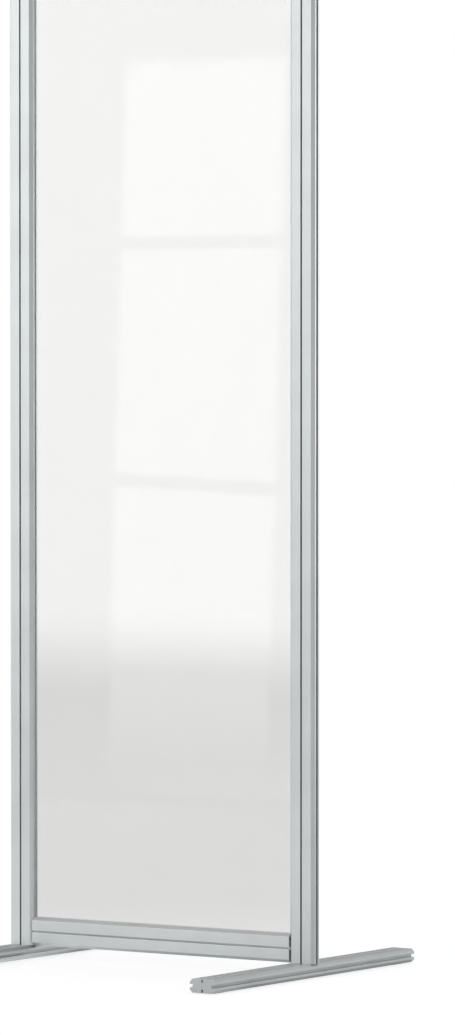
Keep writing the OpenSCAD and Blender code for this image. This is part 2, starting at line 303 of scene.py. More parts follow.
class DividerStage(bpy.types.PropertyGroup):
    """Brightness of the lights, the room and the floor"""

    fill: level("Fill", "Light from all round", 0.86)
    room: level("Room", "Brightness of the room in reflections", 0.61)
    window_wall: level("Window wall", "Brightness of the wall around the window", 1.02)
    bright_wall: level("Bright wall", "Brightness of the wall at the front right", 0.76)
    dim_wall: level("Dim wall", "Brightness of the wall at the rear left", 0.48)
    left_wall: level("Left wall", "Brightness of a narrow wall at the left", 1.5)
    ceiling: level("Ceiling", "Brightness of the room overhead", 0.79)
    window: level("Window", "Brightness of the soft window at the front left", 3.65)
    panes: level("Panes", "Brightness of its panes, times the window's", 1.27)
    rim: level("Rim", "Brightness of the soft light at the rear right", 3.45)
    floor_lift: level("Floor lift", "Share of the floor's white that no shadow darkens", 0.75)
    floor_grey: level("Floor grey", "Grey of the floor in reflections", 0.66)
    sheen: level("Floor sheen", "Light of the floor in front of the divider, in reflections", 0.77)
    sheen_rear: level("Rear sheen", "The same behind the divider", 0.1)
    sheen_left: level("Left sheen", "The same below the left wall", 1.2)


def rounded(corners, radii, wear=0.0, steps=ARC_STEPS, guard=GUARD):
    """Closed outline through the corners, each turned by an arc.

    An arc of radius r touches both sides at r / tan(half the corner's angle) from the corner, and
    its points swing evenly about its centre from one contact to the other. A guard point lies
    further along each side, so that wear and smooth shading end near the arc. A corner of radius 0
    stays one point. Returns the points and the share of edge wear at each.
    """
    corners = np.asarray(corners, float)
    radii = np.broadcast_to(np.asarray(radii, float), len(corners))[:, None]
    wear = np.broadcast_to(np.asarray(wear, float), len(corners))[:, None]
    back = np.roll(corners, 1, axis=0) - corners
    ahead = np.roll(corners, -1, axis=0) - corners
    back_length = np.linalg.norm(back, axis=1, keepdims=True)
    ahead_length = np.linalg.norm(ahead, axis=1, keepdims=True)
    back = back / back_length
    ahead = ahead / ahead_length
    half = 0.5 * np.arccos(np.clip((back * ahead).sum(1, keepdims=True), -1, 1))
    reach = radii / np.tan(half)
    middle = back + ahead
    middle = middle / np.maximum(np.linalg.norm(middle, axis=1, keepdims=True), 1e-12)
    centre = corners + middle * radii / np.sin(half)
    start = corners + back * reach
    end = corners + ahead * reach
    turn = np.maximum(math.pi - 2 * half, 1e-9)[:, :, None]
    share = np.linspace(0, 1, steps + 1)[None, :, None]
    arc = centre[:, None] + (
        np.sin((1 - share) * turn) * (start - centre)[:, None]
        + np.sin(share * turn) * (end - centre)[:, None]
    ) / np.sin(turn)
    room = GUARD_SHARE * (ahead_length - reach - np.roll(reach, -1, axis=0))
    before = start + back * np.minimum(guard, np.roll(room, 1, axis=0))
    after = end + ahead * np.minimum(guard, room)
    points = np.concatenate([before[:, None], arc, after[:, None]], axis=1)
    values = np.concatenate([0 * wear, np.repeat(wear, steps + 1, axis=1), 0 * wear], axis=1)
    sharp = radii[:, 0] == 0
    points[sharp, 0] = corners[sharp]
    keep = np.ones(values.shape, bool)
    keep[sharp, 1:] = False
    return points[keep], values[keep]


def four_quarters(quadrant):
    """Outline of a quarter and its three mirror images, anticlockwise from the lower side."""
    quadrant = np.asarray(quadrant, float)
    upper = (quadrant * (1, -1))[::-1]
    return np.concatenate([quadrant, upper, -quadrant, -upper])


def mirrored(values):
    """Values at a quarter's corners, then at its mirror images, in the order of four_quarters."""
    return np.concatenate([values, values[::-1]] * 2)


def octagon(half_x, half_y, corner):
    """Rectangle with its corners cut at 45 degrees, anticlockwise."""
    return four_quarters([(half_x - corner, -half_y), (half_x, -half_y + corner)])


def circle(centre, radius):
    """Circle as points at equal angles, anticlockwise."""
    angle = np.linspace(0, 2 * math.pi, PORT_POINTS, endpoint=False)
    return np.asarray(centre) + radius * np.stack([np.cos(angle), np.sin(angle)], axis=1)


def as_hole(loop):
    """The loop turned round, so that its faces look into the hole."""
    points, values = loop
    return points[::-1], values[::-1]


def plain(points):
    """A loop without edge wear."""
    return points, np.zeros(len(points))


def as_painted_light_inside(loop):
    """The loop with an edge value of -1, which marks the walls of a closed chamber, where the
    finish paints a paler colour as painted light.
    """
    points, values = loop
    return points, np.full(len(values), -1.0)


class SectionPlaces:
    """Distances in the extrusion from its centre line, and the radius of the ring at a port."""

    def __init__(self, section):
        foot_low, foot_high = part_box("foot_right")
        self.half_w = (foot_high.x - foot_low.x) / 2
        self.half_d = (foot_high.z - foot_low.z) / 2
        self.face_floor = self.half_d - section.face_slot_depth
        self.edge_floor = self.half_w - section.edge_slot_depth
        self.inner_w = self.half_w - section.wall
        self.inner_d = self.half_d - section.wall
        self.core_w = section.face_pocket_w / 2
        self.core_d = self.face_floor - section.web
        self.chamber_in = self.core_w + section.web
        self.chamber_out = self.edge_floor - section.web
        self.port_x = (self.chamber_in + self.chamber_out) / 2
        self.ring = section.port_d / 2 + section.port_wall


def section_outline(section, at):
    """Outer outline of the extrusion: a flat octagon with an undercut slot in each main face."""
    slot, pocket = section.face_slot_w / 2, section.face_pocket_w / 2
    edge_slot, edge_pocket = section.edge_slot_w / 2, section.edge_pocket_w / 2
    quadrant = [
        (pocket, -at.face_floor), (pocket, -at.inner_d), (slot, -at.inner_d), (slot, -at.half_d),
        (at.half_w - section.chamfer, -at.half_d), (at.half_w, -at.half_d + section.chamfer),
        (at.half_w, -edge_slot), (at.inner_w, -edge_slot), (at.inner_w, -edge_pocket),
        (at.edge_floor, -edge_pocket),
    ]
    inner, lip, corner = section.inner_radius, section.lip_radius, section.corner_radius
    radii = [inner, inner, inner, lip, corner, corner, lip, inner, inner, inner]
    wear = [0, 0, 0, 1, 1, 1, 1, 0, 0, 0]
    return rounded(four_quarters(quadrant), mirrored(radii), mirrored(wear))


def section_holes(section, at):
    """Core, four side chambers and two screw ports, each turned as a hole.

    A side chamber follows the outer wall, the webs and, between them, the arc of the port's ring
    from where it leaves the middle rib. The core and the chambers are marked as inside, where the
    finish paints them paler as painted light.
    """
    rib = section.web / 2
    slot_web = section.edge_pocket_w / 2 + section.web
    inset_chamfer = section.chamfer - (2 - math.sqrt(2)) * section.wall
    outer_x = at.inner_w - (slot_web - (at.inner_d - inset_chamfer))
    lift = math.asin(rib / at.ring)
    angle = np.linspace(math.pi - lift, lift, RING_POINTS)
    arc = np.stack([at.port_x + at.ring * np.cos(angle), at.ring * np.sin(angle)], axis=1)
    walls = [
        (at.chamber_out, rib), (at.chamber_out, slot_web), (outer_x, slot_web),
        (at.inner_w - inset_chamfer, at.inner_d),
        (at.chamber_in, at.inner_d), (at.chamber_in, rib),
    ]
    chamber = np.concatenate([arc, walls])
    radii = np.concatenate([np.zeros(len(arc)), np.full(len(walls), section.inner_radius)])
    core = octagon(at.core_w, at.core_d, 0.1 * section.inner_radius)
    holes = [as_painted_light_inside(as_hole(plain(core)))]
    for flip_x, flip_y in ((1, 1), (-1, 1), (-1, -1), (1, -1)):
        outline = chamber * (flip_x, flip_y)
        around = radii
        if flip_x * flip_y < 0:
            # A mirrored outline runs the other way round, and is turned back before it is rounded.
            outline = outline[::-1]
            around = radii[::-1]
        holes.append(as_painted_light_inside(as_hole(rounded(outline, around, steps=3))))
    ports = [
        as_hole(plain(circle((side * at.port_x, 0), section.port_d / 2))) for side in (-1, 1)
    ]
    return holes, ports


def outward(points):
    """Mitre at each point: the way out of the material, one unit square to both sides."""
    ahead = np.roll(points, -1, axis=0) - points
    ahead = ahead / np.linalg.norm(ahead, axis=1, keepdims=True)
    out = np.stack([ahead[:, 1], -ahead[:, 0]], axis=1)
    out_back = np.roll(out, 1, axis=0)
    return (out + out_back) / (1 + (out * out_back).sum(1, keepdims=True))


def ring_quads(here):
    """Quads between neighbouring rings, from the indices of their points, a row for each ring."""
    ahead = np.roll(here, -1, axis=1)
    return np.stack([here[:-1], ahead[:-1], ahead[1:], here[1:]], axis=-1).reshape(-1, 4)


def sweep(loops, stations, origin, axes, insets=None):
    """Closed surface of the loops carried along a straight line.

    A ring point is its outline point moved in by the station's inset along the mitre. It is placed
    at the origin plus its width, its depth and the distance along, each times its axis. Quads join
    neighbouring rings, and flat faces close the first and last rings with the holes left open.
    stations has a row for each ring: distance along, inset and edge wear, which takes the
    outline's own value to 1. insets may give each loop its own column of insets instead.
    """
    stations = np.asarray(stations, float)
    if insets is None:
        insets = np.repeat(stations[:, 1:2], len(loops), axis=1)
    across, deep, run = (np.asarray(axis, float) for axis in axes)
    count = len(stations)
    points, wear, faces, rings = [], [], [], []
    base = 0
    for number, (outline, values) in enumerate(loops):
        size = len(outline)
        ring = outline[None] - insets[:, number, None, None] * outward(outline)[None]
        place = (
            np.asarray(origin, float) + ring[..., :1] * across + ring[..., 1:] * deep
            + stations[:, 0, None, None] * run
        )
        points.append(place.reshape(-1, 3))
        wear.append((values + stations[:, 2:3] * (1 - values)).ravel())
        here = base + np.arange(count)[:, None] * size + np.arange(size)[None]
        faces.append(ring_quads(here))
        rings.append((ring, here))
        base += count * size
    for station, downward in ((0, True), (count - 1, False)):
        flat = [np.pad(ring[station], ((0, 0), (0, 1))).tolist() for ring, _ in rings]
        index = np.concatenate([here[station] for _, here in rings])
        spot = np.concatenate([ring[station] for ring, _ in rings])
        corners = np.array(tessellate_polygon(flat))
        side_a = spot[corners[:, 1]] - spot[corners[:, 0]]
        side_b = spot[corners[:, 2]] - spot[corners[:, 0]]
        area = side_a[:, 0] * side_b[:, 1] - side_a[:, 1] * side_b[:, 0]
        wrong = (area < 0) != downward
        corners[wrong] = corners[wrong][:, ::-1]
        faces.append(index[corners])
    return np.concatenate(points), faces, np.concatenate(wear)


def new_mesh(name, points, faces, wear):
    """Mesh from whole arrays: points, lists of faces with equal corner counts, and edge wear."""
    mesh = bpy.data.meshes.new(name)
    corners = np.concatenate([each.ravel() for each in faces]).astype(np.int32)
    sizes = np.concatenate([np.full(len(each), each.shape[1]) for each in faces]).astype(np.int32)
    mesh.vertices.add(len(points))
    mesh.vertices.foreach_set("co", points.astype(np.float32).ravel())
    mesh.loops.add(len(corners))
    mesh.loops.foreach_set("vertex_index", corners)
    mesh.polygons.add(len(sizes))
    mesh.polygons.foreach_set("loop_start", np.cumsum(sizes, dtype=np.int32) - sizes)
    mesh.update(calc_edges=True)
    attribute = mesh.attributes.new("edge", "FLOAT", "POINT")
    attribute.data.foreach_set("value", wear.astype(np.float32))
    return mesh


def joined(parts):
    """Several (points, faces, wear) as one."""
    offsets = np.cumsum([0] + [len(points) for points, _, _ in parts[:-1]])
    return (
        np.concatenate([points for points, _, _ in parts]),
        [each + offset for (_, faces, _), offset in zip(parts, offsets) for each in faces],
        np.concatenate([wear for _, _, wear in parts]),
    )


def carve(obj, tools, operation="DIFFERENCE"):
    """Cuts the tools from the object's mesh, or unites them with it, and deletes them."""
    for tool in tools:
        step = obj.modifiers.new("carve", "BOOLEAN")
        step.object = tool
        step.operation = operation
        step.solver = "EXACT"
    graph = bpy.context.evaluated_depsgraph_get()
    carved = bpy.data.meshes.new_from_object(obj.evaluated_get(graph), depsgraph=graph)
    obj.modifiers.clear()
    obj.data = carved
    for tool in tools:
        bpy.data.objects.remove(tool)


def loose_object(name, shape):
    """Object in the scene from (points, faces, wear)."""
    obj = bpy.data.objects.new(name, new_mesh(name, *shape))
    bpy.context.scene.collection.objects.link(obj)
    return obj


def place_piece(obj, node, material):
    """Finishes a piece that stands for a CAD node: shading, body, slot and material."""
    if not len(obj.data.polygons):
        raise RuntimeError(f"{obj.name} has no faces")
    obj.data.shade_smooth()
    obj.data.set_sharp_from_angle(angle=SHARP_ANGLE)
    obj.data.materials.clear()
    obj.data.materials.append(material)
    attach(obj, BODY)
    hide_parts(node)
    return obj


def corners_of(node):
    """Low corner, high corner and middle of a CAD node's box, as arrays."""
    low, high = (np.array(corner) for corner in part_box(node))
    return low, high, (low + high) / 2


def bar_place(node, run):
    """Start point on the centre line, axes and length of a bar, from its CAD box."""
    low, high, origin = corners_of(node)
    axis = "xyz".index(run)
    origin[axis] = low[axis]
    return origin, RUNS[run], high[axis] - low[axis]


def both_ends(near, total):
    """Rings of the near end, and the same rings turned round at the far end."""
    far = [(total - along, inset, worn) for along, inset, worn in reversed(near)]
    return np.array(near + far)


def bar_stations(total, deburr, guard=GUARD):
    """Rings of a bar: a broken edge at both ends, and a guard ring behind it."""
    return both_ends([(0, deburr, 1), (deburr, 0, 1), (deburr + guard, 0, 0)], total)


def quarter_round(radius):
    """Pairs of setback and inset along a quarter round, from its foot to its top.

    At equal angles from 0 to 90 degrees the setback is the radius times one minus the sine, and
    the inset is the radius times one minus the cosine.
    """
    angle = np.linspace(0, math.pi / 2, ARC_STEPS + 1)
    return list(zip(radius * (1 - np.sin(angle)), radius * (1 - np.cos(angle))))


def bar_shape(node, run, section, at):
    """The slotted extrusion carried along a CAD bar."""
    holes, ports = section_holes(section, at)
    origin, axes, total = bar_place(node, run)
    loops = [section_outline(section, at), *holes, *ports]
    return sweep(loops, bar_stations(total, section.deburr), origin, axes)


def upright_shape(node, section, at, fit):
    """An upright: the extrusion with its ports opened to the tapped bore at the bottom.

    The bore is the port's circle grown by the difference of the radii, down to the tapped depth,
    and a short cone back to the port.
    """
    holes, ports = section_holes(section, at)
    origin, axes, total = bar_place(node, "z")
    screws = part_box("foot_screws_left")
    depth = screws[1].z - origin[2] + fit.tap_runout
    growth = (fit.foot_screw_d + 2 * fit.thread_clear - section.port_d) / 2
    end_rings = bar_stations(total, section.deburr)
    near = len(end_rings) // 2
    bore_rings = [(depth, 0, 0), (depth + growth, 0, 0)]
    stations = np.concatenate([end_rings[:near], bore_rings, end_rings[near:]])
    loops = [section_outline(section, at), *holes, *ports]
    insets = np.repeat(stations[:, 1:2], len(loops), axis=1)
    insets[:near + 1, -len(ports):] = -growth
    insets[0, -len(ports):] = -growth + section.deburr
    return sweep(loops, stations, origin, axes, insets)


def turned(profile, origin, axis, spokes=SHANK_SPOKES, reach=None):
    """Closed surface of a profile turned about an axis.

    A point of the profile is (distance along, radius), from one end on the axis to the other. It
    goes to the origin plus the distance times the axis, plus the radius times the cosine and the
    sine of equal angles in the plane square to it. reach(angle, along, radius) may change the
    radius, as an array, to cut a thread, a knurl or a socket.
    """
    profile = np.asarray(profile, float)
    axis = np.asarray(axis, float)
    side = np.roll(axis, 1)
    other = np.cross(axis, side)
    angle = np.linspace(0, 2 * math.pi, spokes, endpoint=False)[None]
    along = np.repeat(profile[1:-1, :1], spokes, axis=1)
    radius = np.repeat(profile[1:-1, 1:], spokes, axis=1)
    if reach:
        radius = reach(angle, along, radius)
    rings = (
        np.asarray(origin, float) + along[..., None] * axis
        + (radius * np.cos(angle))[..., None] * side
        + (radius * np.sin(angle))[..., None] * other
    )
    count = len(rings)
    first = np.asarray(origin, float) + profile[0, 0] * axis
    last = np.asarray(origin, float) + profile[-1, 0] * axis
    points = np.concatenate([rings.reshape(-1, 3), first[None], last[None]])
    here = np.arange(count)[:, None] * spokes + np.arange(spokes)[None]
    ahead = np.roll(here, -1, axis=1)
    start = np.stack([ahead[0], here[0], np.full(spokes, count * spokes)], axis=-1)
    end = np.stack([here[-1], ahead[-1], np.full(spokes, count * spokes + 1)], axis=-1)
    return points, [ring_quads(here), start, end], np.zeros(len(points))


def drill(name, origin, axis, steps):
    """Cutting tool turned from (distance along, radius) steps."""
    profile = [(steps[0][0], 0), *steps, (steps[-1][0], 0)]
    return loose_object(name, turned(profile, origin, axis))


def foot_drills(node, section, at, fit):
    """Tools for the two screws of a foot: a head's access hole from below, and a plain hole."""
    low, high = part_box(node)
    middle = (low.x + high.x) / 2
    past, relief = DRILL_PAST, DRILL_RELIEF
    access = fit.foot_screw_head_d / 2 + fit.access_clear
    bore = fit.foot_screw_d / 2 + fit.hole_clear
    seat = high.z - section.wall
    tools = []
    for side in (-1, 1):
        origin = (middle + side * at.port_x, (low.y + high.y) / 2, 0)
        steps = [
            (low.z - past, access + relief + past), (low.z + relief, access), (seat, access),
            (seat, bore), (high.z - relief, bore), (high.z + past, bore + relief + past),
        ]
        tools.append(drill("foot_drill", origin, (0, 0, 1), steps))
    return tools


def rail_drills(node, at, fit):
    """Tools for the set screws of a rail, through its rear slot into its core."""
    low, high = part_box(node)
    height = (low.z + high.z) / 2
    radius = fit.lock_screw_d / 2 + fit.thread_clear
    steps = [(at.core_d - DRILL_PAST, radius), (at.half_d + DRILL_PAST, radius)]
    tools = []
    for side in SIDES:
        screws_low, screws_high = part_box(f"lock_screws_{node.removesuffix('_rail')}_{side}")
        for place in (screws_low.x + fit.lock_screw_d / 2, screws_high.x - fit.lock_screw_d / 2):
            tools.append(drill("rail_drill", (place, 0, height), (0, 1, 0), steps))
    return tools


def sheet_shape(fit):
    """The clear sheet: a thin rectangle with rounded corners, carried up its height.

    Its edges at the top and the bottom are quarter rounds.
    """
    low, high, middle = corners_of("acrylic_panel")
    half = (high - low) / 2
    radius = fit.sheet_edge
    corners = [(half[0], -half[1]), (half[0], half[1]), (-half[0], half[1]), (-half[0], -half[1])]
    outline = rounded(corners, radius, wear=1.0, guard=3 * radius)
    near = [(setback, inset, 1) for setback, inset in reversed(quarter_round(radius))]
    near.append((4 * radius, 0, 0))
    rings = both_ends(near, high[2] - low[2])
    return sweep([outline], rings, (middle[0], middle[1], low[2]), RUNS["z"])


def strip_outline(section, fit):
    """Section of a glazing strip: a channel for the sheet, barbs behind the lips, a soft bead.

    The first coordinate runs across the sheet, the second into the slot from the extrusion's face.
    """
    inner = fit.sheet_t / 2
    outer = section.edge_slot_w / 2
    barb = section.edge_pocket_w / 2 - fit.strip_clear
    base = fit.sheet_bite + fit.strip_base
    bead = (inner + outer) / 2
    top = -fit.strip_bead
    lip = section.wall
    corners = [
        (inner, top), (bead, top), (outer, 0), (outer, lip), (barb, lip), (outer, base),
        (-outer, base), (-barb, lip), (-outer, lip), (-outer, 0), (-bead, top), (-inner, top),
        (-inner, fit.sheet_bite), (inner, fit.sheet_bite),
    ]
    soft = fit.strip_radius
    tight = 0.6 * soft
    radii = [
        tight, soft, soft, tight, tight, soft,
        soft, tight, tight, soft, soft, tight,
        tight, tight,
    ]
    return rounded(corners, radii, steps=3, guard=STRIP_GUARD / 2)


def strip_shape(place, section, fit):
    """A glazing strip in its slot. Its face plane is one bead in from the near side of its box."""
    low, high, middle = corners_of(f"glazing_strip_{place}")
    bead, y = fit.strip_bead, middle[1]
    axes, origin = {
        "left": (((0, 1, 0), (-1, 0, 0), (0, 0, 1)), (high[0] - bead, y, low[2])),
        "right": (((0, -1, 0), (1, 0, 0), (0, 0, 1)), (low[0] + bead, y, low[2])),
        "bottom": (((0, -1, 0), (0, 0, -1), (1, 0, 0)), (low[0], y, high[2] - bead)),
        "top": (((0, 1, 0), (0, 0, 1), (1, 0, 0)), (low[0], y, low[2] + bead)),
    }[place]
    total = (high - low)[2 if place in SIDES else 0]
    rings = bar_stations(total, STRIP_CUT, guard=STRIP_GUARD)
    rings[:, 2] = 0
    return sweep([strip_outline(section, fit)], rings, origin, axes)


def cap_shapes(outer, axes, plate_t, section, at, fit):
    """Plate and four hollow plugs of an end cap, whose plate ends at the point outer.

    The plate's outer edge is a quarter round. The corners of its outline have a larger radius than
    the round, so that the outline can shrink by it. A plug is a rounded octagon with a second one
    as its bore.
    """
    slot, edge_slot = section.face_slot_w / 2, section.edge_slot_w / 2
    quadrant = [
        (slot, -at.face_floor), (slot, -at.half_d),
        (at.half_w - section.chamfer, -at.half_d), (at.half_w, -at.half_d + section.chamfer),
        (at.half_w, -edge_slot), (at.edge_floor, -edge_slot),
    ]
    wear = np.array([0, 1, 1, 1, 1, 0], float)
    radii = np.where(wear > 0, fit.cap_corner, section.inner_radius)
    outline = rounded(four_quarters(quadrant), mirrored(radii), mirrored(wear))
    round_edge = fit.cap_round
    rings = [(0, section.deburr, 0), (section.deburr, 0, 0), (plate_t - 1.6 * round_edge, 0, 0)]
    rings += [(plate_t - setback, inset, 1) for setback, inset in quarter_round(round_edge)]
    rings.append((plate_t, (round_edge + fit.cap_corner) / 2, 0))
    base = np.array(outer, float) - plate_t * np.array(axes[2], float)
    plate = sweep([outline], rings, base, axes)
    plug_w = (at.chamber_out - at.chamber_in) / 2 - fit.plug_fit
    plug_h = (at.inner_d - at.ring) / 2 - fit.plug_fit
    plug_y = (at.inner_d + at.ring) / 2
    bore = octagon(plug_w - fit.plug_wall, plug_h - fit.plug_wall, fit.lead_in / 2)
    tube = [
        rounded(octagon(plug_w, plug_h, fit.lead_in), PLUG_RADIUS),
        as_hole(rounded(bore, PLUG_BORE_RADIUS)),
    ]
    lead = 0.35 * fit.plug_wall
    rings = [(-fit.plug_l, lead, 0), (-fit.plug_l + 3 * lead, 0, 0), (0.4 * plate_t, 0, 0)]
    plugs = []
    for side_x in (-1, 1):
        for side_y in (-1, 1):
            centre = (side_x * at.port_x, side_y * plug_y)
            loops = [(points + centre, values) for points, values in tube]
            plugs.append(sweep(loops, rings, base, axes))
    return plate, plugs


def thread_reach(pitch, depth, first, last):
    """Function for the radius of a single-start thread.

    The radius drops from the crest by the depth times a triangle wave of the distance along in
    pitches less the angle in turns. The wave is clipped flat at the crest and at the root, and
    fades out over a pitch at both ends.
    """

    def reach(angle, along, radius):
        wave = np.abs((along / pitch - angle / (2 * math.pi)) % 1.0 - 0.5) * 2
        groove = np.clip(wave * THREAD_STEEPNESS - THREAD_CREST, 0, 1)
        fade = np.clip((along - first) / pitch, 0, 1) * np.clip((last - along) / pitch, 0, 1)
        return radius - depth * groove * fade

    return reach


def hexagon_radius(flats, angle):
    """Distance from the centre to the side of a hexagon of that size across flats."""
    sector = math.pi / 3
    return flats / 2 / np.cos((angle % sector) - sector / 2)


def screw_shape(origin, axis, size, total, pitch, flats, head_d=0.0, head_h=0.0):
    """A screw with its seat at the origin and its shank along the axis.

    The profile starts on the axis at the floor of the hexagon socket, climbs the socket, crosses
    and rounds the head, if there is one, and runs down the threaded shank to the chamfered tip.
    The socket's wall takes the hexagon's radius at each angle. The head's side has a fine knurl.
    """
    radius = size / 2
    tip = size / 8
    top = -head_h
    rim = head_d / 2 if head_h else radius
    bevel = 0.06 * size
    floor = top + flats
    drill_point = 0.15 * flats
    mouth = 0.56 * flats
    profile = [
        (floor + drill_point, 0), (floor, flats / 2), (top + 0.1 * flats, flats / 2), (top, mouth),
    ]
    knurl = None
    if head_h:
        side = np.linspace(top + 2 * bevel, -2 * bevel, 6)
        profile += [(top, rim - 1.5 * bevel), (top + 0.5 * bevel, rim - 0.5 * bevel)]
        profile += [(along, rim) for along in side]
        profile += [(-bevel, rim), (0, rim - bevel), (0, radius + bevel), (bevel, radius)]
        knurl = (side[0], side[-1])
    else:
        profile += [(top, radius - 2 * bevel), (bevel, radius)]
    start_of_shank = len(profile)
    rows = int(round((total - 2 * bevel) / pitch * ROWS_PER_PITCH))
    profile += [(along, radius) for along in np.linspace(bevel, total - tip, rows)[1:]]
    profile += [(total, radius - tip), (total, 0)]
    first = PLAIN_SHANK * total if head_h else 0.0
    cut_thread = thread_reach(pitch, THREAD_DEPTH * pitch, first, total - 0.5 * tip)
    rows_index = np.arange(len(profile) - 2)[:, None] + 1

    def reach(angle, along, radius_now):
        shaped = np.where(rows_index >= start_of_shank, cut_thread(angle, along, radius_now),
                          radius_now)
        in_socket = (rows_index >= 1) & (rows_index <= 2)
        shaped = np.where(in_socket, np.minimum(hexagon_radius(flats, angle), 0.99 * rim), shaped)
        if knurl:
            on_side = (along > knurl[0] - 1e-9) & (along < knurl[1] + 1e-9) & (
                np.abs(radius_now - rim) < 1e-9)
            ridge = KNURL_DEPTH * (0.5 - 0.5 * np.cos(angle * KNURL_RIDGES))
            shaped = np.where(on_side, shaped - ridge, shaped)
        return shaped

    return turned(profile, origin, axis, HEAD_SPOKES if head_h else SHANK_SPOKES, reach)


def pad_shape(node, fit):
    """A floor pad with grooves across its underside.

    The plan is an octagon: at each distance along, the half width is the full one less what the
    corner's 45 degrees take. The underside rises by the groove's depth times a clipped cosine wave
    of the distance along, and stays flat near the rim.
    """
    low, high, middle = corners_of(node)
    half = (high - low) / 2
    thick = high[2] - low[2]
    along = np.linspace(-1, 1, PAD_ROWS)[:, None] * half[1]
    reach = half[0] - np.maximum(np.abs(along) - (half[1] - fit.pad_corner), 0)
    bevel = 0.25 * thick
    half_row = np.array([GROOVE_END, RIM_START, RIM_END, 1])
    across = np.concatenate([-half_row[::-1], [0], half_row])[None]
    x = across * reach
    y = np.repeat(along, across.size, axis=1)
    wave = 0.5 - 0.5 * np.cos(2 * math.pi * y / fit.pad_pitch)
    off_sides = np.clip((RIM_START - np.abs(across)) / (RIM_START - GROOVE_END), 0, 1)
    off_ends = np.clip((half[1] - np.abs(y)) / (1.2 * fit.pad_pitch) - 0.5, 0, 1)
    keep_rim = off_sides * off_ends
    under = fit.pad_groove * np.clip(1.6 * wave - 0.3, 0, 1) * keep_rim
    shrink = 1 - bevel / half[0]
    grids = [
        (x * shrink, y * (1 - bevel / half[1]), low[2] + under),
        (x, y, low[2] + 0 * x + bevel),
        (x, y, high[2] + 0 * x - 0.4 * bevel),
        (x * (1 - 0.4 * bevel / half[0]), y * (1 - 0.4 * bevel / half[1]), high[2] + 0 * x),
    ]
    rows, columns = x.shape
    index = np.arange(rows * columns).reshape(rows, columns)
    rim = np.concatenate([index[0, :-1], index[:-1, -1], index[-1, :0:-1], index[:0:-1, 0]])
    centre = np.array([middle[0], middle[1], 0])
    points = [np.stack([grid.ravel() for grid in grids[each]], axis=1) for each in (0, 3)]
    points += [np.stack([grid.ravel()[rim] for grid in grids[each]], axis=1) for each in (1, 2)]
    quad = np.stack([index[:-1, :-1], index[:-1, 1:], index[1:, 1:], index[1:, :-1]], axis=-1)
    quad = quad.reshape(-1, 4)
    count = rows * columns
    lower_ring = 2 * count + np.arange(len(rim))
    rings = np.stack([rim, lower_ring, lower_ring + len(rim), count + rim])
    faces = [quad[:, ::-1], quad + count, ring_quads(rings)]
    made = np.concatenate(points) + centre
    return made, faces, np.zeros(len(made))


def add(tree, kind, inputs=None, **settings):
    """Adds a node, sets its properties, and fills or links its inputs."""
    made = tree.nodes.new(kind)
    for name, value in settings.items():
        setattr(made, name, value)
    for name, value in (inputs or {}).items():
        if isinstance(value, bpy.types.NodeSocket):
            tree.links.new(value, made.inputs[name])
        else:
            made.inputs[name].default_value = value
    return made


def maths(tree, operation, first, second=0.0, clamp=False):
    """One step of arithmetic, as the socket that holds its result."""
    made = add(tree, "ShaderNodeMath", {0: first, 1: second}, operation=operation)
    made.use_clamp = clamp
    return made.outputs[0]


def blend(tree, share, first, second):
    """Colour between two colours, as the socket that holds it."""
    made = add(tree, "ShaderNodeMix", {0: share, 6: first, 7: second}, data_type="RGBA")
    return made.outputs[2]


def scaled(tree, value, width, start):
    """The value times a width, plus a start."""
    return maths(tree, "ADD", maths(tree, "MULTIPLY", value, width), start)


def mixture(tree, first, second, share):
    """The first value times the share, plus the second times the rest of it."""
    return maths(tree, "ADD", maths(tree, "MULTIPLY", first, share),
                 maths(tree, "MULTIPLY", second, 1 - share))


def between_shades(tree, share, rgb, dark, light):
    """Colour between two shades of one colour."""
    return blend(tree, share, shade(rgb, dark), shade(rgb, light))


def new_group(name, inputs, outputs):
    """Empty shader node group with named sockets: its tree, its input node and its output node."""
    tree = bpy.data.node_groups.new(name, "ShaderNodeTree")
    for label, kind, default in inputs:
        socket = tree.interface.new_socket(label, in_out="INPUT", socket_type=kind)
        socket.default_value = default
    for label, kind in outputs:
        tree.interface.new_socket(label, in_out="OUTPUT", socket_type=kind)
    return tree, tree.nodes.new("NodeGroupInput"), tree.nodes.new("NodeGroupOutput")


def noise(tree, vector, scale, detail=2.0, roughness=0.5):
    """Noise between 0 and 1, as the socket that holds it."""
    made = add(tree, "ShaderNodeTexNoise",
               {"Vector": vector, "Scale": scale, "Detail": detail, "Roughness": roughness})
    return made.outputs["Fac"]


def run_marks_group():
    """Fine die lines along a bar: noise on coordinates squeezed along the run, in two widths."""
    tree, given, result = new_group(
        "Run marks",
        [("Squeeze", "NodeSocketVector", (1.0, 1.0, 1.0)), ("Fine", "NodeSocketFloat", 1400.0),
         ("Broad", "NodeSocketFloat", 160.0)],
        [("Marks", "NodeSocketFloat")],
    )
    place = add(tree, "ShaderNodeTexCoord").outputs["Object"]
    run = add(tree, "ShaderNodeVectorMath", {0: place, 1: given.outputs["Squeeze"]},
              operation="MULTIPLY").outputs[0]
    fine = noise(tree, run, given.outputs["Fine"], detail=3.0, roughness=0.6)
    broad = noise(tree, run, given.outputs["Broad"])
    tree.links.new(mixture(tree, fine, broad, share=0.6), result.inputs["Marks"])
    return tree


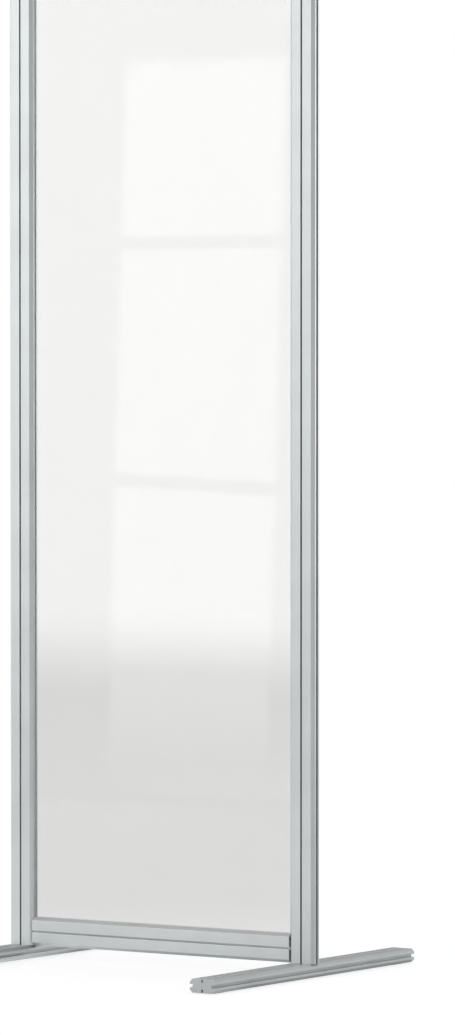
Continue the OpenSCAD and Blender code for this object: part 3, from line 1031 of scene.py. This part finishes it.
def mottle_group():
    """Soft cloudy variation, for handling marks and uneven finishes."""
    tree, given, result = new_group(
        "Mottle",
        [("Scale", "NodeSocketFloat", 20.0), ("Detail", "NodeSocketFloat", 3.0),
         ("Contrast", "NodeSocketFloat", 2.0)],
        [("Value", "NodeSocketFloat")],
    )
    place = add(tree, "ShaderNodeTexCoord").outputs["Object"]
    cloud = noise(tree, place, given.outputs["Scale"], given.outputs["Detail"])
    centred = maths(tree, "SUBTRACT", cloud, 0.5)
    spread = maths(tree, "MULTIPLY", centred, given.outputs["Contrast"])
    value = maths(tree, "ADD", spread, 0.5, clamp=True)
    tree.links.new(value, result.inputs["Value"])
    return tree


def edge_wear_group():
    """Rubbed edges: the mesh's edge value plus noise, cut off below a threshold."""
    tree, given, result = new_group(
        "Edge wear",
        [("Amount", "NodeSocketFloat", 0.6), ("Patch scale", "NodeSocketFloat", 60.0)],
        [("Mask", "NodeSocketFloat")],
    )
    edge = add(tree, "ShaderNodeAttribute", attribute_name="edge").outputs["Fac"]
    place = add(tree, "ShaderNodeTexCoord").outputs["Object"]
    patches = noise(tree, place, given.outputs["Patch scale"], detail=4.0, roughness=0.6)
    reach = maths(tree, "SUBTRACT", maths(tree, "ADD", edge, patches), WEAR_FROM)
    rubbed = maths(tree, "MULTIPLY", reach, WEAR_SHARPNESS, clamp=True)
    mask = maths(tree, "MULTIPLY", rubbed, given.outputs["Amount"])
    tree.links.new(mask, result.inputs["Mask"])
    return tree


def dust_group():
    """Settled dust: more on faces that look up, in fine specks and soft patches."""
    tree, given, result = new_group(
        "Settled dust",
        [("Amount", "NodeSocketFloat", 0.2)],
        [("Mask", "NodeSocketFloat")],
    )
    place = add(tree, "ShaderNodeTexCoord").outputs["Object"]
    normal = add(tree, "ShaderNodeNewGeometry").outputs["Normal"]
    up = add(tree, "ShaderNodeSeparateXYZ", {0: normal}).outputs["Z"]
    tilt = maths(tree, "SUBTRACT", up, DUST_TILT)
    lying = maths(tree, "MULTIPLY", tilt, DUST_GAIN, clamp=True)
    specks = noise(tree, place, SPECK_SCALE, detail=4.0, roughness=0.7)
    patches = noise(tree, place, PATCH_SCALE)
    cover = maths(tree, "MULTIPLY", maths(tree, "ADD", specks, patches), 0.55, clamp=True)
    settled = maths(tree, "MULTIPLY", lying, cover)
    mask = maths(tree, "MULTIPLY", settled, given.outputs["Amount"])
    tree.links.new(mask, result.inputs["Mask"])
    return tree


GROUP_MAKERS = {
    "Run marks": run_marks_group,
    "Mottle": mottle_group,
    "Edge wear": edge_wear_group,
    "Settled dust": dust_group,
}


def use_group(tree, name, **values):
    """The shared group as a node in this tree, built when first used. Returns its first output."""
    group = bpy.data.node_groups.get(name) or GROUP_MAKERS[name]()
    made = tree.nodes.new("ShaderNodeGroup")
    made.node_tree = group
    for key, value in values.items():
        made.inputs[key.replace("_", " ")].default_value = value
    return made.outputs[0]


def new_material(name):
    """Material with only a Principled BSDF: the material, its tree and the shader."""
    material = bpy.data.materials.new(name)
    material.use_nodes = True
    tree = material.node_tree
    tree.nodes.clear()
    shader = tree.nodes.new("ShaderNodeBsdfPrincipled")
    output = tree.nodes.new("ShaderNodeOutputMaterial")
    tree.links.new(shader.outputs[0], output.inputs["Surface"])
    return material, tree, shader


def shade(rgb, factor):
    """The colour times a factor, with full alpha."""
    return tuple(min(1.0, channel * factor) for channel in rgb) + (1.0,)


def set_bump(tree, shader, height, strength, distance):
    """Feeds a height to the shader's normal."""
    bump = add(tree, "ShaderNodeBump",
               {"Height": height, "Strength": strength, "Distance": distance})
    tree.links.new(bump.outputs["Normal"], shader.inputs["Normal"])


def finish(name, make, *details):
    """The material of that name, made when it is first asked for.

    No finish has the name of a slot, since the slots' own materials come in with the solids.
    """
    return bpy.data.materials.get(name) or make(name, *details)


def anodised(name, run, colours):
    """Satin anodised aluminium with die lines along the run, duller in its chambers, and painted
    paler there as painted light that lightens their shade.
    """
    material, tree, shader = new_material(name)
    squeeze = tuple(DIE_LINE_SQUEEZE if axis == run else 1.0 for axis in "xyz")
    marks = use_group(tree, "Run marks", Squeeze=squeeze)
    cloud = use_group(tree, "Mottle", Scale=14.0)
    worn = use_group(tree, "Edge wear", Amount=0.5)
    dust = use_group(tree, "Settled dust", Amount=0.18)
    share = mixture(tree, marks, cloud, share=0.65)
    metal = between_shades(tree, share, colours.metal, dark=0.86, light=1.14)
    rubbed = blend(tree, worn, metal, shade(colours.metal, RUBBED_SHADE))
    dusty = blend(tree, dust, rubbed, METAL_DUST)
    edge = add(tree, "ShaderNodeAttribute", attribute_name="edge").outputs["Fac"]
    # Painted light: the chamber walls take the pale inside colour, which lightens the shade in
    # them
    inside = maths(tree, "MULTIPLY", edge, -1.0, clamp=True)
    skin = blend(tree, inside, dusty, shade(colours.inside, 1.0))
    tree.links.new(skin, shader.inputs["Base Color"])
    metallic = between(tree, inside, OUTER_METALLIC, INNER_METALLIC)
    tree.links.new(metallic, shader.inputs["Metallic"])
    rough = scaled(tree, marks, width=0.12, start=0.40)
    rough = scaled(tree, worn, width=-0.08, start=rough)
    rough = scaled(tree, dust, width=0.5, start=rough)
    tree.links.new(rough, shader.inputs["Roughness"])
    set_bump(tree, shader, marks, strength=0.5, distance=0.09 * MM)
    return material


def clear_acrylic(name, colours):
    """Clear cast sheet, faintly wavy, with thin smears where it has been wiped. Its grey tint is
    painted shade for the dimmer room seen through it.
    """
    material, tree, shader = new_material(name)
    smear = use_group(tree, "Mottle", Scale=9.0, Detail=5.0, Contrast=3.0)
    # Painted shade: a grey for the dimmer room seen through the sheet, varied a little by the
    # wiped smears
    smeared_painted_shade = between_shades(tree, smear, colours.sheet, dark=0.995, light=1.005)
    tree.links.new(smeared_painted_shade, shader.inputs["Base Color"])
    tree.links.new(scaled(tree, smear, width=0.008, start=0.002), shader.inputs["Roughness"])
    shader.inputs["IOR"].default_value = ACRYLIC_IOR
    shader.inputs["Transmission Weight"].default_value = 1.0
    wave = use_group(tree, "Mottle", Scale=2.2, Detail=0.0, Contrast=1.0)
    set_bump(tree, shader, wave, strength=0.05, distance=0.4 * MM)
    return material


def soft_strip(name, colours):
    """Soft extruded strip with a dull skin."""
    material, tree, shader = new_material(name)
    cloud = use_group(tree, "Mottle", Scale=60.0)
    grain = use_group(tree, "Mottle", Scale=1500.0, Detail=4.0)
    dust = use_group(tree, "Settled dust", Amount=0.3)
    skin = between_shades(tree, cloud, colours.strip, dark=0.93, light=1.05)
    tree.links.new(blend(tree, dust, skin, PLASTIC_DUST), shader.inputs["Base Color"])
    tree.links.new(scaled(tree, cloud, width=0.12, start=0.42), shader.inputs["Roughness"])
    set_bump(tree, shader, grain, strength=0.2, distance=0.02 * MM)
    return material


def moulded_plastic(name, colours):
    """Moulded cap with a spark-eroded skin, rubbed smooth on its edges."""
    material, tree, shader = new_material(name)
    skin = use_group(tree, "Mottle", Scale=1800.0, Detail=3.0, Contrast=2.5)
    cloud = use_group(tree, "Mottle", Scale=45.0)
    worn = use_group(tree, "Edge wear", Amount=0.6, Patch_scale=120.0)
    dust = use_group(tree, "Settled dust", Amount=0.2)
    plastic = between_shades(tree, cloud, colours.cap, dark=0.95, light=1.04)
    rubbed = blend(tree, worn, plastic, shade(colours.cap, RUBBED_SHADE))
    tree.links.new(blend(tree, dust, rubbed, PLASTIC_DUST), shader.inputs["Base Color"])
    rough = scaled(tree, skin, width=0.12, start=0.42)
    rough = scaled(tree, worn, width=-0.12, start=rough)
    tree.links.new(rough, shader.inputs["Roughness"])
    set_bump(tree, shader, skin, strength=0.35, distance=0.03 * MM)
    return material


def floor_rubber(name, colours):
    """Dark rubber with a fine grain and dust in it."""
    material, tree, shader = new_material(name)
    grain = use_group(tree, "Mottle", Scale=1100.0, Detail=5.0, Contrast=2.5)
    cloud = use_group(tree, "Mottle", Scale=120.0, Contrast=3.0)
    rubber = between_shades(tree, grain, colours.pad, dark=0.75, light=1.5)
    dust = maths(tree, "MULTIPLY", cloud, 0.12)
    tree.links.new(blend(tree, dust, rubber, RUBBER_DUST), shader.inputs["Base Color"])
    tree.links.new(scaled(tree, cloud, width=0.15, start=0.68), shader.inputs["Roughness"])
    set_bump(tree, shader, grain, strength=0.4, distance=0.05 * MM)
    return material


def plated_steel(name, colours):
    """Zinc-plated steel: bright, with a faint warm and cool bloom."""
    material, tree, shader = new_material(name)
    bloom = use_group(tree, "Mottle", Scale=220.0, Detail=2.0, Contrast=3.0)
    fine = use_group(tree, "Mottle", Scale=2500.0, Detail=3.0)
    cool = (colours.screw[0] * 0.94, colours.screw[1], colours.screw[2] * 1.08, 1.0)
    warm = (colours.screw[0] * 1.08, colours.screw[1] * 1.02, colours.screw[2] * 0.88, 1.0)
    tree.links.new(blend(tree, bloom, cool, warm), shader.inputs["Base Color"])
    tree.links.new(scaled(tree, fine, width=0.18, start=0.2), shader.inputs["Roughness"])
    shader.inputs["Metallic"].default_value = 1.0
    set_bump(tree, shader, fine, strength=0.2, distance=0.01 * MM)
    return material


def cast_metal(name, colours):
    """Die-cast zinc: dull grey with a sandy grain."""
    material, tree, shader = new_material(name)
    grain = use_group(tree, "Mottle", Scale=900.0, Detail=5.0, Contrast=2.5)
    cloud = use_group(tree, "Mottle", Scale=90.0, Contrast=2.5)
    share = mixture(tree, grain, cloud, share=0.4)
    skin = between_shades(tree, share, colours.casting, dark=0.82, light=1.12)
    tree.links.new(skin, shader.inputs["Base Color"])
    tree.links.new(scaled(tree, grain, width=0.2, start=0.45), shader.inputs["Roughness"])
    shader.inputs["Metallic"].default_value = 1.0
    set_bump(tree, shader, grain, strength=0.4, distance=0.04 * MM)
    return material


class DIVIDER_OT_uprights(bpy.types.Operator):
    """Sweep the two uprights, with their tapped screw ports"""

    bl_idname = "divider.uprights"
    bl_label = "Uprights"

    def execute(self, context):
        scene = context.scene
        section, fit = scene.divider_section, scene.divider_fittings
        at = SectionPlaces(section)
        metal = finish("anodised_z", anodised, "z", scene.divider_colours)
        for side in SIDES:
            node = f"upright_{side}"
            obj = loose_object(f"swept_{node}", upright_shape(node, section, at, fit))
            place_piece(obj, node, metal)
        return {"FINISHED"}


class DIVIDER_OT_rails(bpy.types.Operator):
    """Sweep the two rails and drill them for their set screws"""

    bl_idname = "divider.rails"
    bl_label = "Rails"

    def execute(self, context):
        scene = context.scene
        section, fit = scene.divider_section, scene.divider_fittings
        at = SectionPlaces(section)
        metal = finish("anodised_x", anodised, "x", scene.divider_colours)
        for where in LEVELS:
            node = f"{where}_rail"
            obj = loose_object(f"swept_{node}", bar_shape(node, "x", section, at))
            carve(obj, rail_drills(node, at, fit))
            place_piece(obj, node, metal)
        return {"FINISHED"}


class DIVIDER_OT_feet(bpy.types.Operator):
    """Sweep the two cross feet and drill them for their screws"""

    bl_idname = "divider.feet"
    bl_label = "Feet"

    def execute(self, context):
        scene = context.scene
        section, fit = scene.divider_section, scene.divider_fittings
        at = SectionPlaces(section)
        metal = finish("anodised_y", anodised, "y", scene.divider_colours)
        for side in SIDES:
            node = f"foot_{side}"
            obj = loose_object(f"swept_{node}", bar_shape(node, "y", section, at))
            carve(obj, foot_drills(node, section, at, fit))
            place_piece(obj, node, metal)
        return {"FINISHED"}


class DIVIDER_OT_sheet(bpy.types.Operator):
    """Make the clear sheet with its polished edges"""

    bl_idname = "divider.sheet"
    bl_label = "Clear sheet"

    def execute(self, context):
        scene = context.scene
        obj = loose_object("polished_sheet", sheet_shape(scene.divider_fittings))
        material = finish("clear_sheet", clear_acrylic, scene.divider_colours)
        place_piece(obj, "acrylic_panel", material)
        return {"FINISHED"}


class DIVIDER_OT_strips(bpy.types.Operator):
    """Sweep the four glazing strips around the sheet"""

    bl_idname = "divider.strips"
    bl_label = "Glazing strips"

    def execute(self, context):
        scene = context.scene
        material = finish("soft_strip", soft_strip, scene.divider_colours)
        for place in SIDES + LEVELS:
            shape = strip_shape(place, scene.divider_section, scene.divider_fittings)
            obj = loose_object(f"soft_strip_{place}", shape)
            place_piece(obj, f"glazing_strip_{place}", material)
        return {"FINISHED"}


class DIVIDER_OT_locks(bpy.types.Operator):
    """Give the cast corner locks their rounded edges and finish"""

    bl_idname = "divider.locks"
    bl_label = "Corner locks"

    def execute(self, context):
        scene = context.scene
        material = finish("cast_metal", cast_metal, scene.divider_colours)
        for where in LEVELS:
            for side in SIDES:
                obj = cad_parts[f"corner_lock_{where}_{side}"]
                weld = obj.modifiers.new("weld", "WELD")
                weld.merge_threshold = WELD_GAP
                soften = obj.modifiers.new("cast edges", "BEVEL")
                soften.width = scene.divider_fittings.cast_radius
                soften.segments = 2
                soften.limit_method = "ANGLE"
                soften.angle_limit = CAST_EDGE_ANGLE
                obj.data.materials.clear()
                obj.data.materials.append(material)
        return {"FINISHED"}


class DIVIDER_OT_lock_screws(bpy.types.Operator):
    """Turn the set screws of the corner locks, with their threads"""

    bl_idname = "divider.lock_screws"
    bl_label = "Set screws"

    def execute(self, context):
        scene = context.scene
        fit = scene.divider_fittings
        material = finish("plated_steel", plated_steel, scene.divider_colours)
        radius = fit.lock_screw_d / 2
        for where in LEVELS:
            for side in SIDES:
                node = f"lock_screws_{where}_{side}"
                low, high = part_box(node)
                height = (low.z + high.z) / 2
                shapes = [
                    screw_shape((x, high.y, height), (0, -1, 0), fit.lock_screw_d, high.y - low.y,
                                fit.lock_pitch, radius)
                    for x in (low.x + radius, high.x - radius)
                ]
                obj = loose_object(f"threaded_{node}", joined(shapes))
                place_piece(obj, node, material)
        return {"FINISHED"}


class DIVIDER_OT_foot_screws(bpy.types.Operator):
    """Turn the screws that hold the uprights on their feet"""

    bl_idname = "divider.foot_screws"
    bl_label = "Foot screws"

    def execute(self, context):
        scene = context.scene
        fit = scene.divider_fittings
        material = finish("plated_steel", plated_steel, scene.divider_colours)
        radius = fit.foot_screw_head_d / 2
        for side in SIDES:
            node = f"foot_screws_{side}"
            low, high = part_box(node)
            seat = low.z + fit.foot_screw_head_h
            middle = (low.y + high.y) / 2
            shapes = [
                screw_shape((x, middle, seat), (0, 0, 1), fit.foot_screw_d, high.z - seat,
                            fit.foot_pitch, radius, fit.foot_screw_head_d, fit.foot_screw_head_h)
                for x in (low.x + radius, high.x - radius)
            ]
            obj = loose_object(f"threaded_{node}", joined(shapes))
            place_piece(obj, node, material)
        return {"FINISHED"}


class DIVIDER_OT_caps(bpy.types.Operator):
    """Mould the caps of the uprights and the feet"""

    bl_idname = "divider.caps"
    bl_label = "End caps"

    def execute(self, context):
        for side in SIDES:
            low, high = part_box(f"upright_cap_{side}")
            post_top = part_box(f"upright_{side}")[1].z
            outer = ((low.x + high.x) / 2, (low.y + high.y) / 2, high.z)
            self.mould(context.scene, f"upright_cap_{side}", outer, RUNS["z"], high.z - post_top)
            foot_low, foot_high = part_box(f"foot_{side}")
            for end in ENDS:
                node = f"foot_cap_{side}_{end}"
                low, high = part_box(node)
                x, z = (low.x + high.x) / 2, (low.z + high.z) / 2
                if end == "rear":
                    outer, axes, plate_t = (x, high.y, z), RUNS["y"], high.y - foot_high.y
                else:
                    outer, axes, plate_t = (x, low.y, z), FORWARD, foot_low.y - low.y
                self.mould(context.scene, node, outer, axes, plate_t)
        return {"FINISHED"}

    def mould(self, scene, node, outer, axes, plate_t):
        """One cap: its plate united with its plugs."""
        section, fit = scene.divider_section, scene.divider_fittings
        material = finish("moulded_plastic", moulded_plastic, scene.divider_colours)
        plate, plugs = cap_shapes(outer, axes, plate_t, section, SectionPlaces(section), fit)
        obj = loose_object(f"moulded_{node}", plate)
        carve(obj, [loose_object("plug", plug) for plug in plugs], "UNION")
        place_piece(obj, node, material)


class DIVIDER_OT_pads(bpy.types.Operator):
    """Make the grooved floor pads"""

    bl_idname = "divider.pads"
    bl_label = "Floor pads"

    def execute(self, context):
        scene = context.scene
        material = finish("floor_rubber", floor_rubber, scene.divider_colours)
        for side in SIDES:
            for end in ENDS:
                node = f"floor_pad_{side}_{end}"
                obj = loose_object(f"grooved_{node}", pad_shape(node, scene.divider_fittings))
                place_piece(obj, node, material)
        return {"FINISHED"}


def stage_plane(name, corners, material):
    """Flat four-cornered stage piece."""
    mesh = bpy.data.meshes.new(name)
    mesh.from_pydata(corners, [], [(0, 1, 2, 3)])
    mesh.materials.append(material)
    obj = bpy.data.objects.new(name, mesh)
    bpy.context.scene.collection.objects.link(obj)
    return obj


def white_rays(tree, path):
    """1 for rays from the camera, straight or through glass, and 0 for rays that gloss sends."""
    unmirrored = maths(tree, "LESS_THAN", path.outputs["Glossy Depth"], 0.5)
    through = maths(tree, "MULTIPLY", path.outputs["Is Transmission Ray"], unmirrored)
    return maths(tree, "ADD", path.outputs["Is Camera Ray"], through, clamp=True)


def ramp(tree, value, low, high):
    """0 below low, 1 above high, and smooth between."""
    made = add(tree, "ShaderNodeMapRange", {"Value": value, "From Min": low, "From Max": high},
               interpolation_type="SMOOTHSTEP")
    return made.outputs[0]


def between(tree, share, first, second):
    """Number between two numbers, as the socket that holds it."""
    return add(tree, "ShaderNodeMix", {0: share, 2: first, 3: second}).outputs[0]


def emission(tree, strength):
    """White light of a strength."""
    made = add(tree, "ShaderNodeEmission", {"Color": (1, 1, 1, 1), "Strength": strength})
    return made.outputs[0]


def diffuse(tree, grey):
    """Plain diffuse shader of one grey."""
    return add(tree, "ShaderNodeBsdfDiffuse", {"Color": (grey, grey, grey, 1)}).outputs[0]


def mixed(tree, share, first, second):
    """Shader between two shaders."""
    return add(tree, "ShaderNodeMixShader", {0: share, 1: first, 2: second}).outputs[0]


def distance_along(tree, place, way):
    """Distance of a place along a direction."""
    return add(tree, "ShaderNodeVectorMath", {0: place, 1: way},
               operation="DOT_PRODUCT").outputs["Value"]


def stage_material(name):
    """Material without nodes of its own yet: the material and its tree."""
    material = bpy.data.materials.new(name)
    material.use_nodes = True
    material.node_tree.nodes.clear()
    return material, material.node_tree


def set_surface(tree, shader):
    """Makes the shader the material's surface."""
    output = tree.nodes.new("ShaderNodeOutputMaterial")
    tree.links.new(shader, output.inputs["Surface"])


def white_world(stage):
    """White for what is seen, a quiet room for gloss, and an even fill for what is lit.

    The room is bright around the window, brighter at the front right than at the rear left,
    brighter overhead, and brightest on a narrow wall at the left.
    """
    world = bpy.data.worlds.new("studio")
    bpy.context.scene.world = world
    world.use_nodes = True
    tree = world.node_tree
    tree.nodes.clear()
    path = tree.nodes.new("ShaderNodeLightPath")
    way = tree.nodes.new("ShaderNodeTexCoord").outputs["Generated"]
    height = add(tree, "ShaderNodeSeparateXYZ", {0: way}).outputs["Z"]
    right = distance_along(tree, way, BRIGHT_WALL_WAY)
    gloss = between(tree, ramp(tree, right, *DIM_TURN), stage.room, stage.dim_wall)
    gloss = between(tree, ramp(tree, height, *CEILING_TURN), gloss, stage.ceiling)
    gloss = between(tree, ramp(tree, right, *BRIGHT_TURN), gloss, stage.bright_wall)
    toward = ramp(tree, distance_along(tree, way, WINDOW_WAY), *WINDOW_TURN)
    gloss = between(tree, toward, gloss, stage.window_wall)
    beside = ramp(tree, distance_along(tree, way, LEFT_WALL_WAY), *LEFT_TURN)
    gloss = between(tree, beside, gloss, stage.left_wall)
    lit = between(tree, path.outputs["Is Glossy Ray"], stage.fill, gloss)
    strength = between(tree, white_rays(tree, path), lit, 1.0)
    light = add(tree, "ShaderNodeBackground", {"Color": (1, 1, 1, 1), "Strength": strength})
    output = tree.nodes.new("ShaderNodeOutputWorld")
    tree.links.new(light.outputs[0], output.inputs["Surface"])


def floor_material(stage):
    """Pale floor that keeps the shadow: part of its white is its own, the rest is lit.

    Far out it is all its own, so that it meets the background without a line. Gloss meets a grey
    floor that glows in front of the divider and below the left wall. The light that it sends up to
    the object is that of a plain grey floor.
    """
    material, tree = stage_material("pale_floor")
    path = tree.nodes.new("ShaderNodeLightPath")
    place = add(tree, "ShaderNodeTexCoord").outputs["Object"]
    away = add(tree, "ShaderNodeVectorMath", {0: place}, operation="LENGTH").outputs["Value"]
    lift = stage.floor_lift
    near = add(tree, "ShaderNodeAddShader",
               {0: diffuse(tree, FLOOR_WHITE - lift), 1: emission(tree, lift)})
    shown = mixed(tree, ramp(tree, away, *FLOOR_FADE), near.outputs[0], emission(tree, 1.0))
    reach = distance_along(tree, place, WINDOW_WAY)
    sheen = between(tree, ramp(tree, reach, *SHEEN_START), stage.sheen_rear, stage.sheen)
    sheen = between(tree, ramp(tree, reach, *SHEEN_END), sheen, 0.0)
    aside = add(tree, "ShaderNodeVectorMath", {0: place}, operation="NORMALIZE").outputs[0]
    beside = ramp(tree, distance_along(tree, aside, LEFT_WALL_WAY), *LEFT_TURN)
    beside = maths(tree, "MULTIPLY", beside, ramp(tree, away, *LEFT_START))
    sheen = between(tree, beside, sheen, stage.sheen_left)
    mirrored_floor = add(tree, "ShaderNodeAddShader",
                         {0: diffuse(tree, stage.floor_grey), 1: emission(tree, sheen)})
    lit = mixed(tree, path.outputs["Is Glossy Ray"], diffuse(tree, BOUNCE_GREY),
                mirrored_floor.outputs[0])
    set_surface(tree, mixed(tree, white_rays(tree, path), lit, shown))
    return material


def window_material(strength, panes):
    """Soft window: a bright field that fades out at its foot, with brighter panes in it.

    The panes lean a little, and leave a faint glow below the field.
    """
    material, tree = stage_material("soft_window")
    place = add(tree, "ShaderNodeTexCoord").outputs["Object"]
    split = add(tree, "ShaderNodeSeparateXYZ", {0: place})
    z = split.outputs["Z"]
    lean = maths(tree, "MULTIPLY", maths(tree, "SUBTRACT", z, PANE_LEAN_ABOUT), PANE_LEAN)
    x = maths(tree, "SUBTRACT", split.outputs["X"], lean)
    soft = PANE_SOFTNESS
    inside = maths(tree, "MULTIPLY", ramp(tree, x, PANES_LEFT - soft, PANES_LEFT + soft),
                   ramp(tree, x, PANES_RIGHT + soft, PANES_RIGHT - soft))
    inside = maths(tree, "MULTIPLY", inside, ramp(tree, z, PANES_TOP + soft, PANES_TOP - soft))
    from_middle = maths(tree, "SUBTRACT", x, (PANES_LEFT + PANES_RIGHT) / 2)
    for bar, slope in PANE_BARS:
        level_z = maths(tree, "SUBTRACT", z, maths(tree, "MULTIPLY", from_middle, slope))
        below = ramp(tree, level_z, bar - PANE_BAR_H, bar - PANE_BAR_H / 3)
        above = ramp(tree, level_z, bar + PANE_BAR_H / 3, bar + PANE_BAR_H)
        away = maths(tree, "SUBTRACT", 1.0, maths(tree, "SUBTRACT", below, above), clamp=True)
        inside = maths(tree, "MULTIPLY", inside, away)
    gain = between(tree, inside, strength, strength * panes)
    upper = maths(tree, "MULTIPLY", ramp(tree, z, *WINDOW_UPPER), WINDOW_UPPER_GAIN)
    rising = maths(tree, "ADD", maths(tree, "MULTIPLY", z, WINDOW_RISE), 1 - WINDOW_RISE)
    rising = maths(tree, "ADD", rising, upper)
    light = emission(tree, maths(tree, "MULTIPLY", gain, rising))
    glow = maths(tree, "MULTIPLY", inside, ramp(tree, z, *PANE_GLOW_RISE))
    glow = maths(tree, "MULTIPLY", glow, PANE_GLOW)
    cover = maths(tree, "MAXIMUM", ramp(tree, z, *WINDOW_FOOT), glow)
    clear = tree.nodes.new("ShaderNodeBsdfTransparent")
    set_surface(tree, mixed(tree, cover, clear.outputs[0], light))
    return material


def rim_material(strength):
    """Soft light that is dimmer towards its foot and its top."""
    material, tree = stage_material("soft_rim")
    place = add(tree, "ShaderNodeTexCoord").outputs["Object"]
    z = add(tree, "ShaderNodeSeparateXYZ", {0: place}).outputs["Z"]
    rise = between(tree, ramp(tree, z, *RIM_RISE), RIM_FOOT_SHARE * strength, strength)
    fall = between(tree, ramp(tree, z, *RIM_FALL), 1.0, RIM_TOP_SHARE)
    set_surface(tree, emission(tree, maths(tree, "MULTIPLY", rise, fall)))
    return material


def hide_from_camera(obj):
    """Keeps a light out of the picture and without a shadow. Gloss still meets it."""
    obj.visible_camera = False
    obj.visible_shadow = False


class DIVIDER_OT_stage(bpy.types.Operator):
    """Set the pale floor, the soft lights and the camera"""

    bl_idname = "divider.stage"
    bl_label = "Stage"

    def execute(self, context):
        scene = context.scene
        stage = scene.divider_stage
        white_world(stage)
        reach = FLOOR_REACH
        stage_plane("floor", [(-reach, -reach, 0), (reach, -reach, 0), (reach, reach, 0),
                              (-reach, reach, 0)], floor_material(stage))
        (x0, x1), (z0, z1) = WINDOW_X, WINDOW_Z
        window = stage_plane(
            "soft_window",
            [(x1, WINDOW_Y, z0), (x0, WINDOW_Y, z0), (x0, WINDOW_Y, z1), (x1, WINDOW_Y, z1)],
            window_material(stage.window, stage.panes),
        )
        hide_from_camera(window)
        centre = np.array(RIM_PLACE)
        inward = -centre * (1, 1, 0)
        inward = inward / np.linalg.norm(inward)
        across = np.cross((0, 0, 1), inward) * RIM_SIZE[0] / 2
        up = np.array((0, 0, RIM_SIZE[1] / 2))
        rim = stage_plane(
            "soft_rim",
            [
                tuple(centre + side * across + rise * up)
                for side, rise in ((-1, -1), (1, -1), (1, 1), (-1, 1))
            ],
            rim_material(stage.rim),
        )
        hide_from_camera(rim)
        scene.view_settings.view_transform = "Standard"
        data = bpy.data.cameras.new("camera")
        data.lens = CAMERA_LENS_MM
        data.sensor_width = SENSOR_MM
        data.clip_end = 10 * FLOOR_REACH
        camera = bpy.data.objects.new("camera", data)
        camera.location = CAMERA_PLACE
        camera.rotation_euler = (math.radians(90 - CAMERA_PITCH), 0, math.radians(CAMERA_YAW))
        scene.collection.objects.link(camera)
        scene.camera = camera
        return {"FINISHED"}


STEPS = (
    DIVIDER_OT_uprights,
    DIVIDER_OT_rails,
    DIVIDER_OT_feet,
    DIVIDER_OT_sheet,
    DIVIDER_OT_strips,
    DIVIDER_OT_locks,
    DIVIDER_OT_lock_screws,
    DIVIDER_OT_foot_screws,
    DIVIDER_OT_caps,
    DIVIDER_OT_pads,
    DIVIDER_OT_stage,
)


class DIVIDER_PT_panel(bpy.types.Panel):
    """Lists the sizes, the colours and the steps that make the divider"""

    bl_idname = "DIVIDER_PT_panel"
    bl_label = "Room divider"
    bl_space_type = "VIEW_3D"
    bl_region_type = "UI"
    bl_category = "Divider"

    def draw(self, context):
        for name in SETTINGS:
            box = self.layout.box()
            group = getattr(context.scene, name)
            for key in group.bl_rna.properties.keys():
                if key not in ("rna_type", "name"):
                    box.prop(group, key)
        for operator in STEPS:
            self.layout.operator(operator.bl_idname)


SETTINGS = {
    "divider_section": DividerSection,
    "divider_fittings": DividerFittings,
    "divider_colours": DividerColours,
    "divider_stage": DividerStage,
}


def register():
    """Registers the settings, the operators and the panel."""
    for name, group in SETTINGS.items():
        bpy.utils.register_class(group)
        setattr(bpy.types.Scene, name, bpy.props.PointerProperty(type=group))
    for operator in STEPS:
        bpy.utils.register_class(operator)
    bpy.utils.register_class(DIVIDER_PT_panel)


def unregister():
    """Takes them out again."""
    bpy.utils.unregister_class(DIVIDER_PT_panel)
    for operator in reversed(STEPS):
        bpy.utils.unregister_class(operator)
    for name, group in reversed(SETTINGS.items()):
        delattr(bpy.types.Scene, name)
        bpy.utils.unregister_class(group)


def main():
    """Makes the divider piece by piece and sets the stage."""
    register()
    for operator in STEPS:
        area, step = operator.bl_idname.split(".")
        getattr(getattr(bpy.ops, area), step)()


if __name__ == "__main__":
    main()
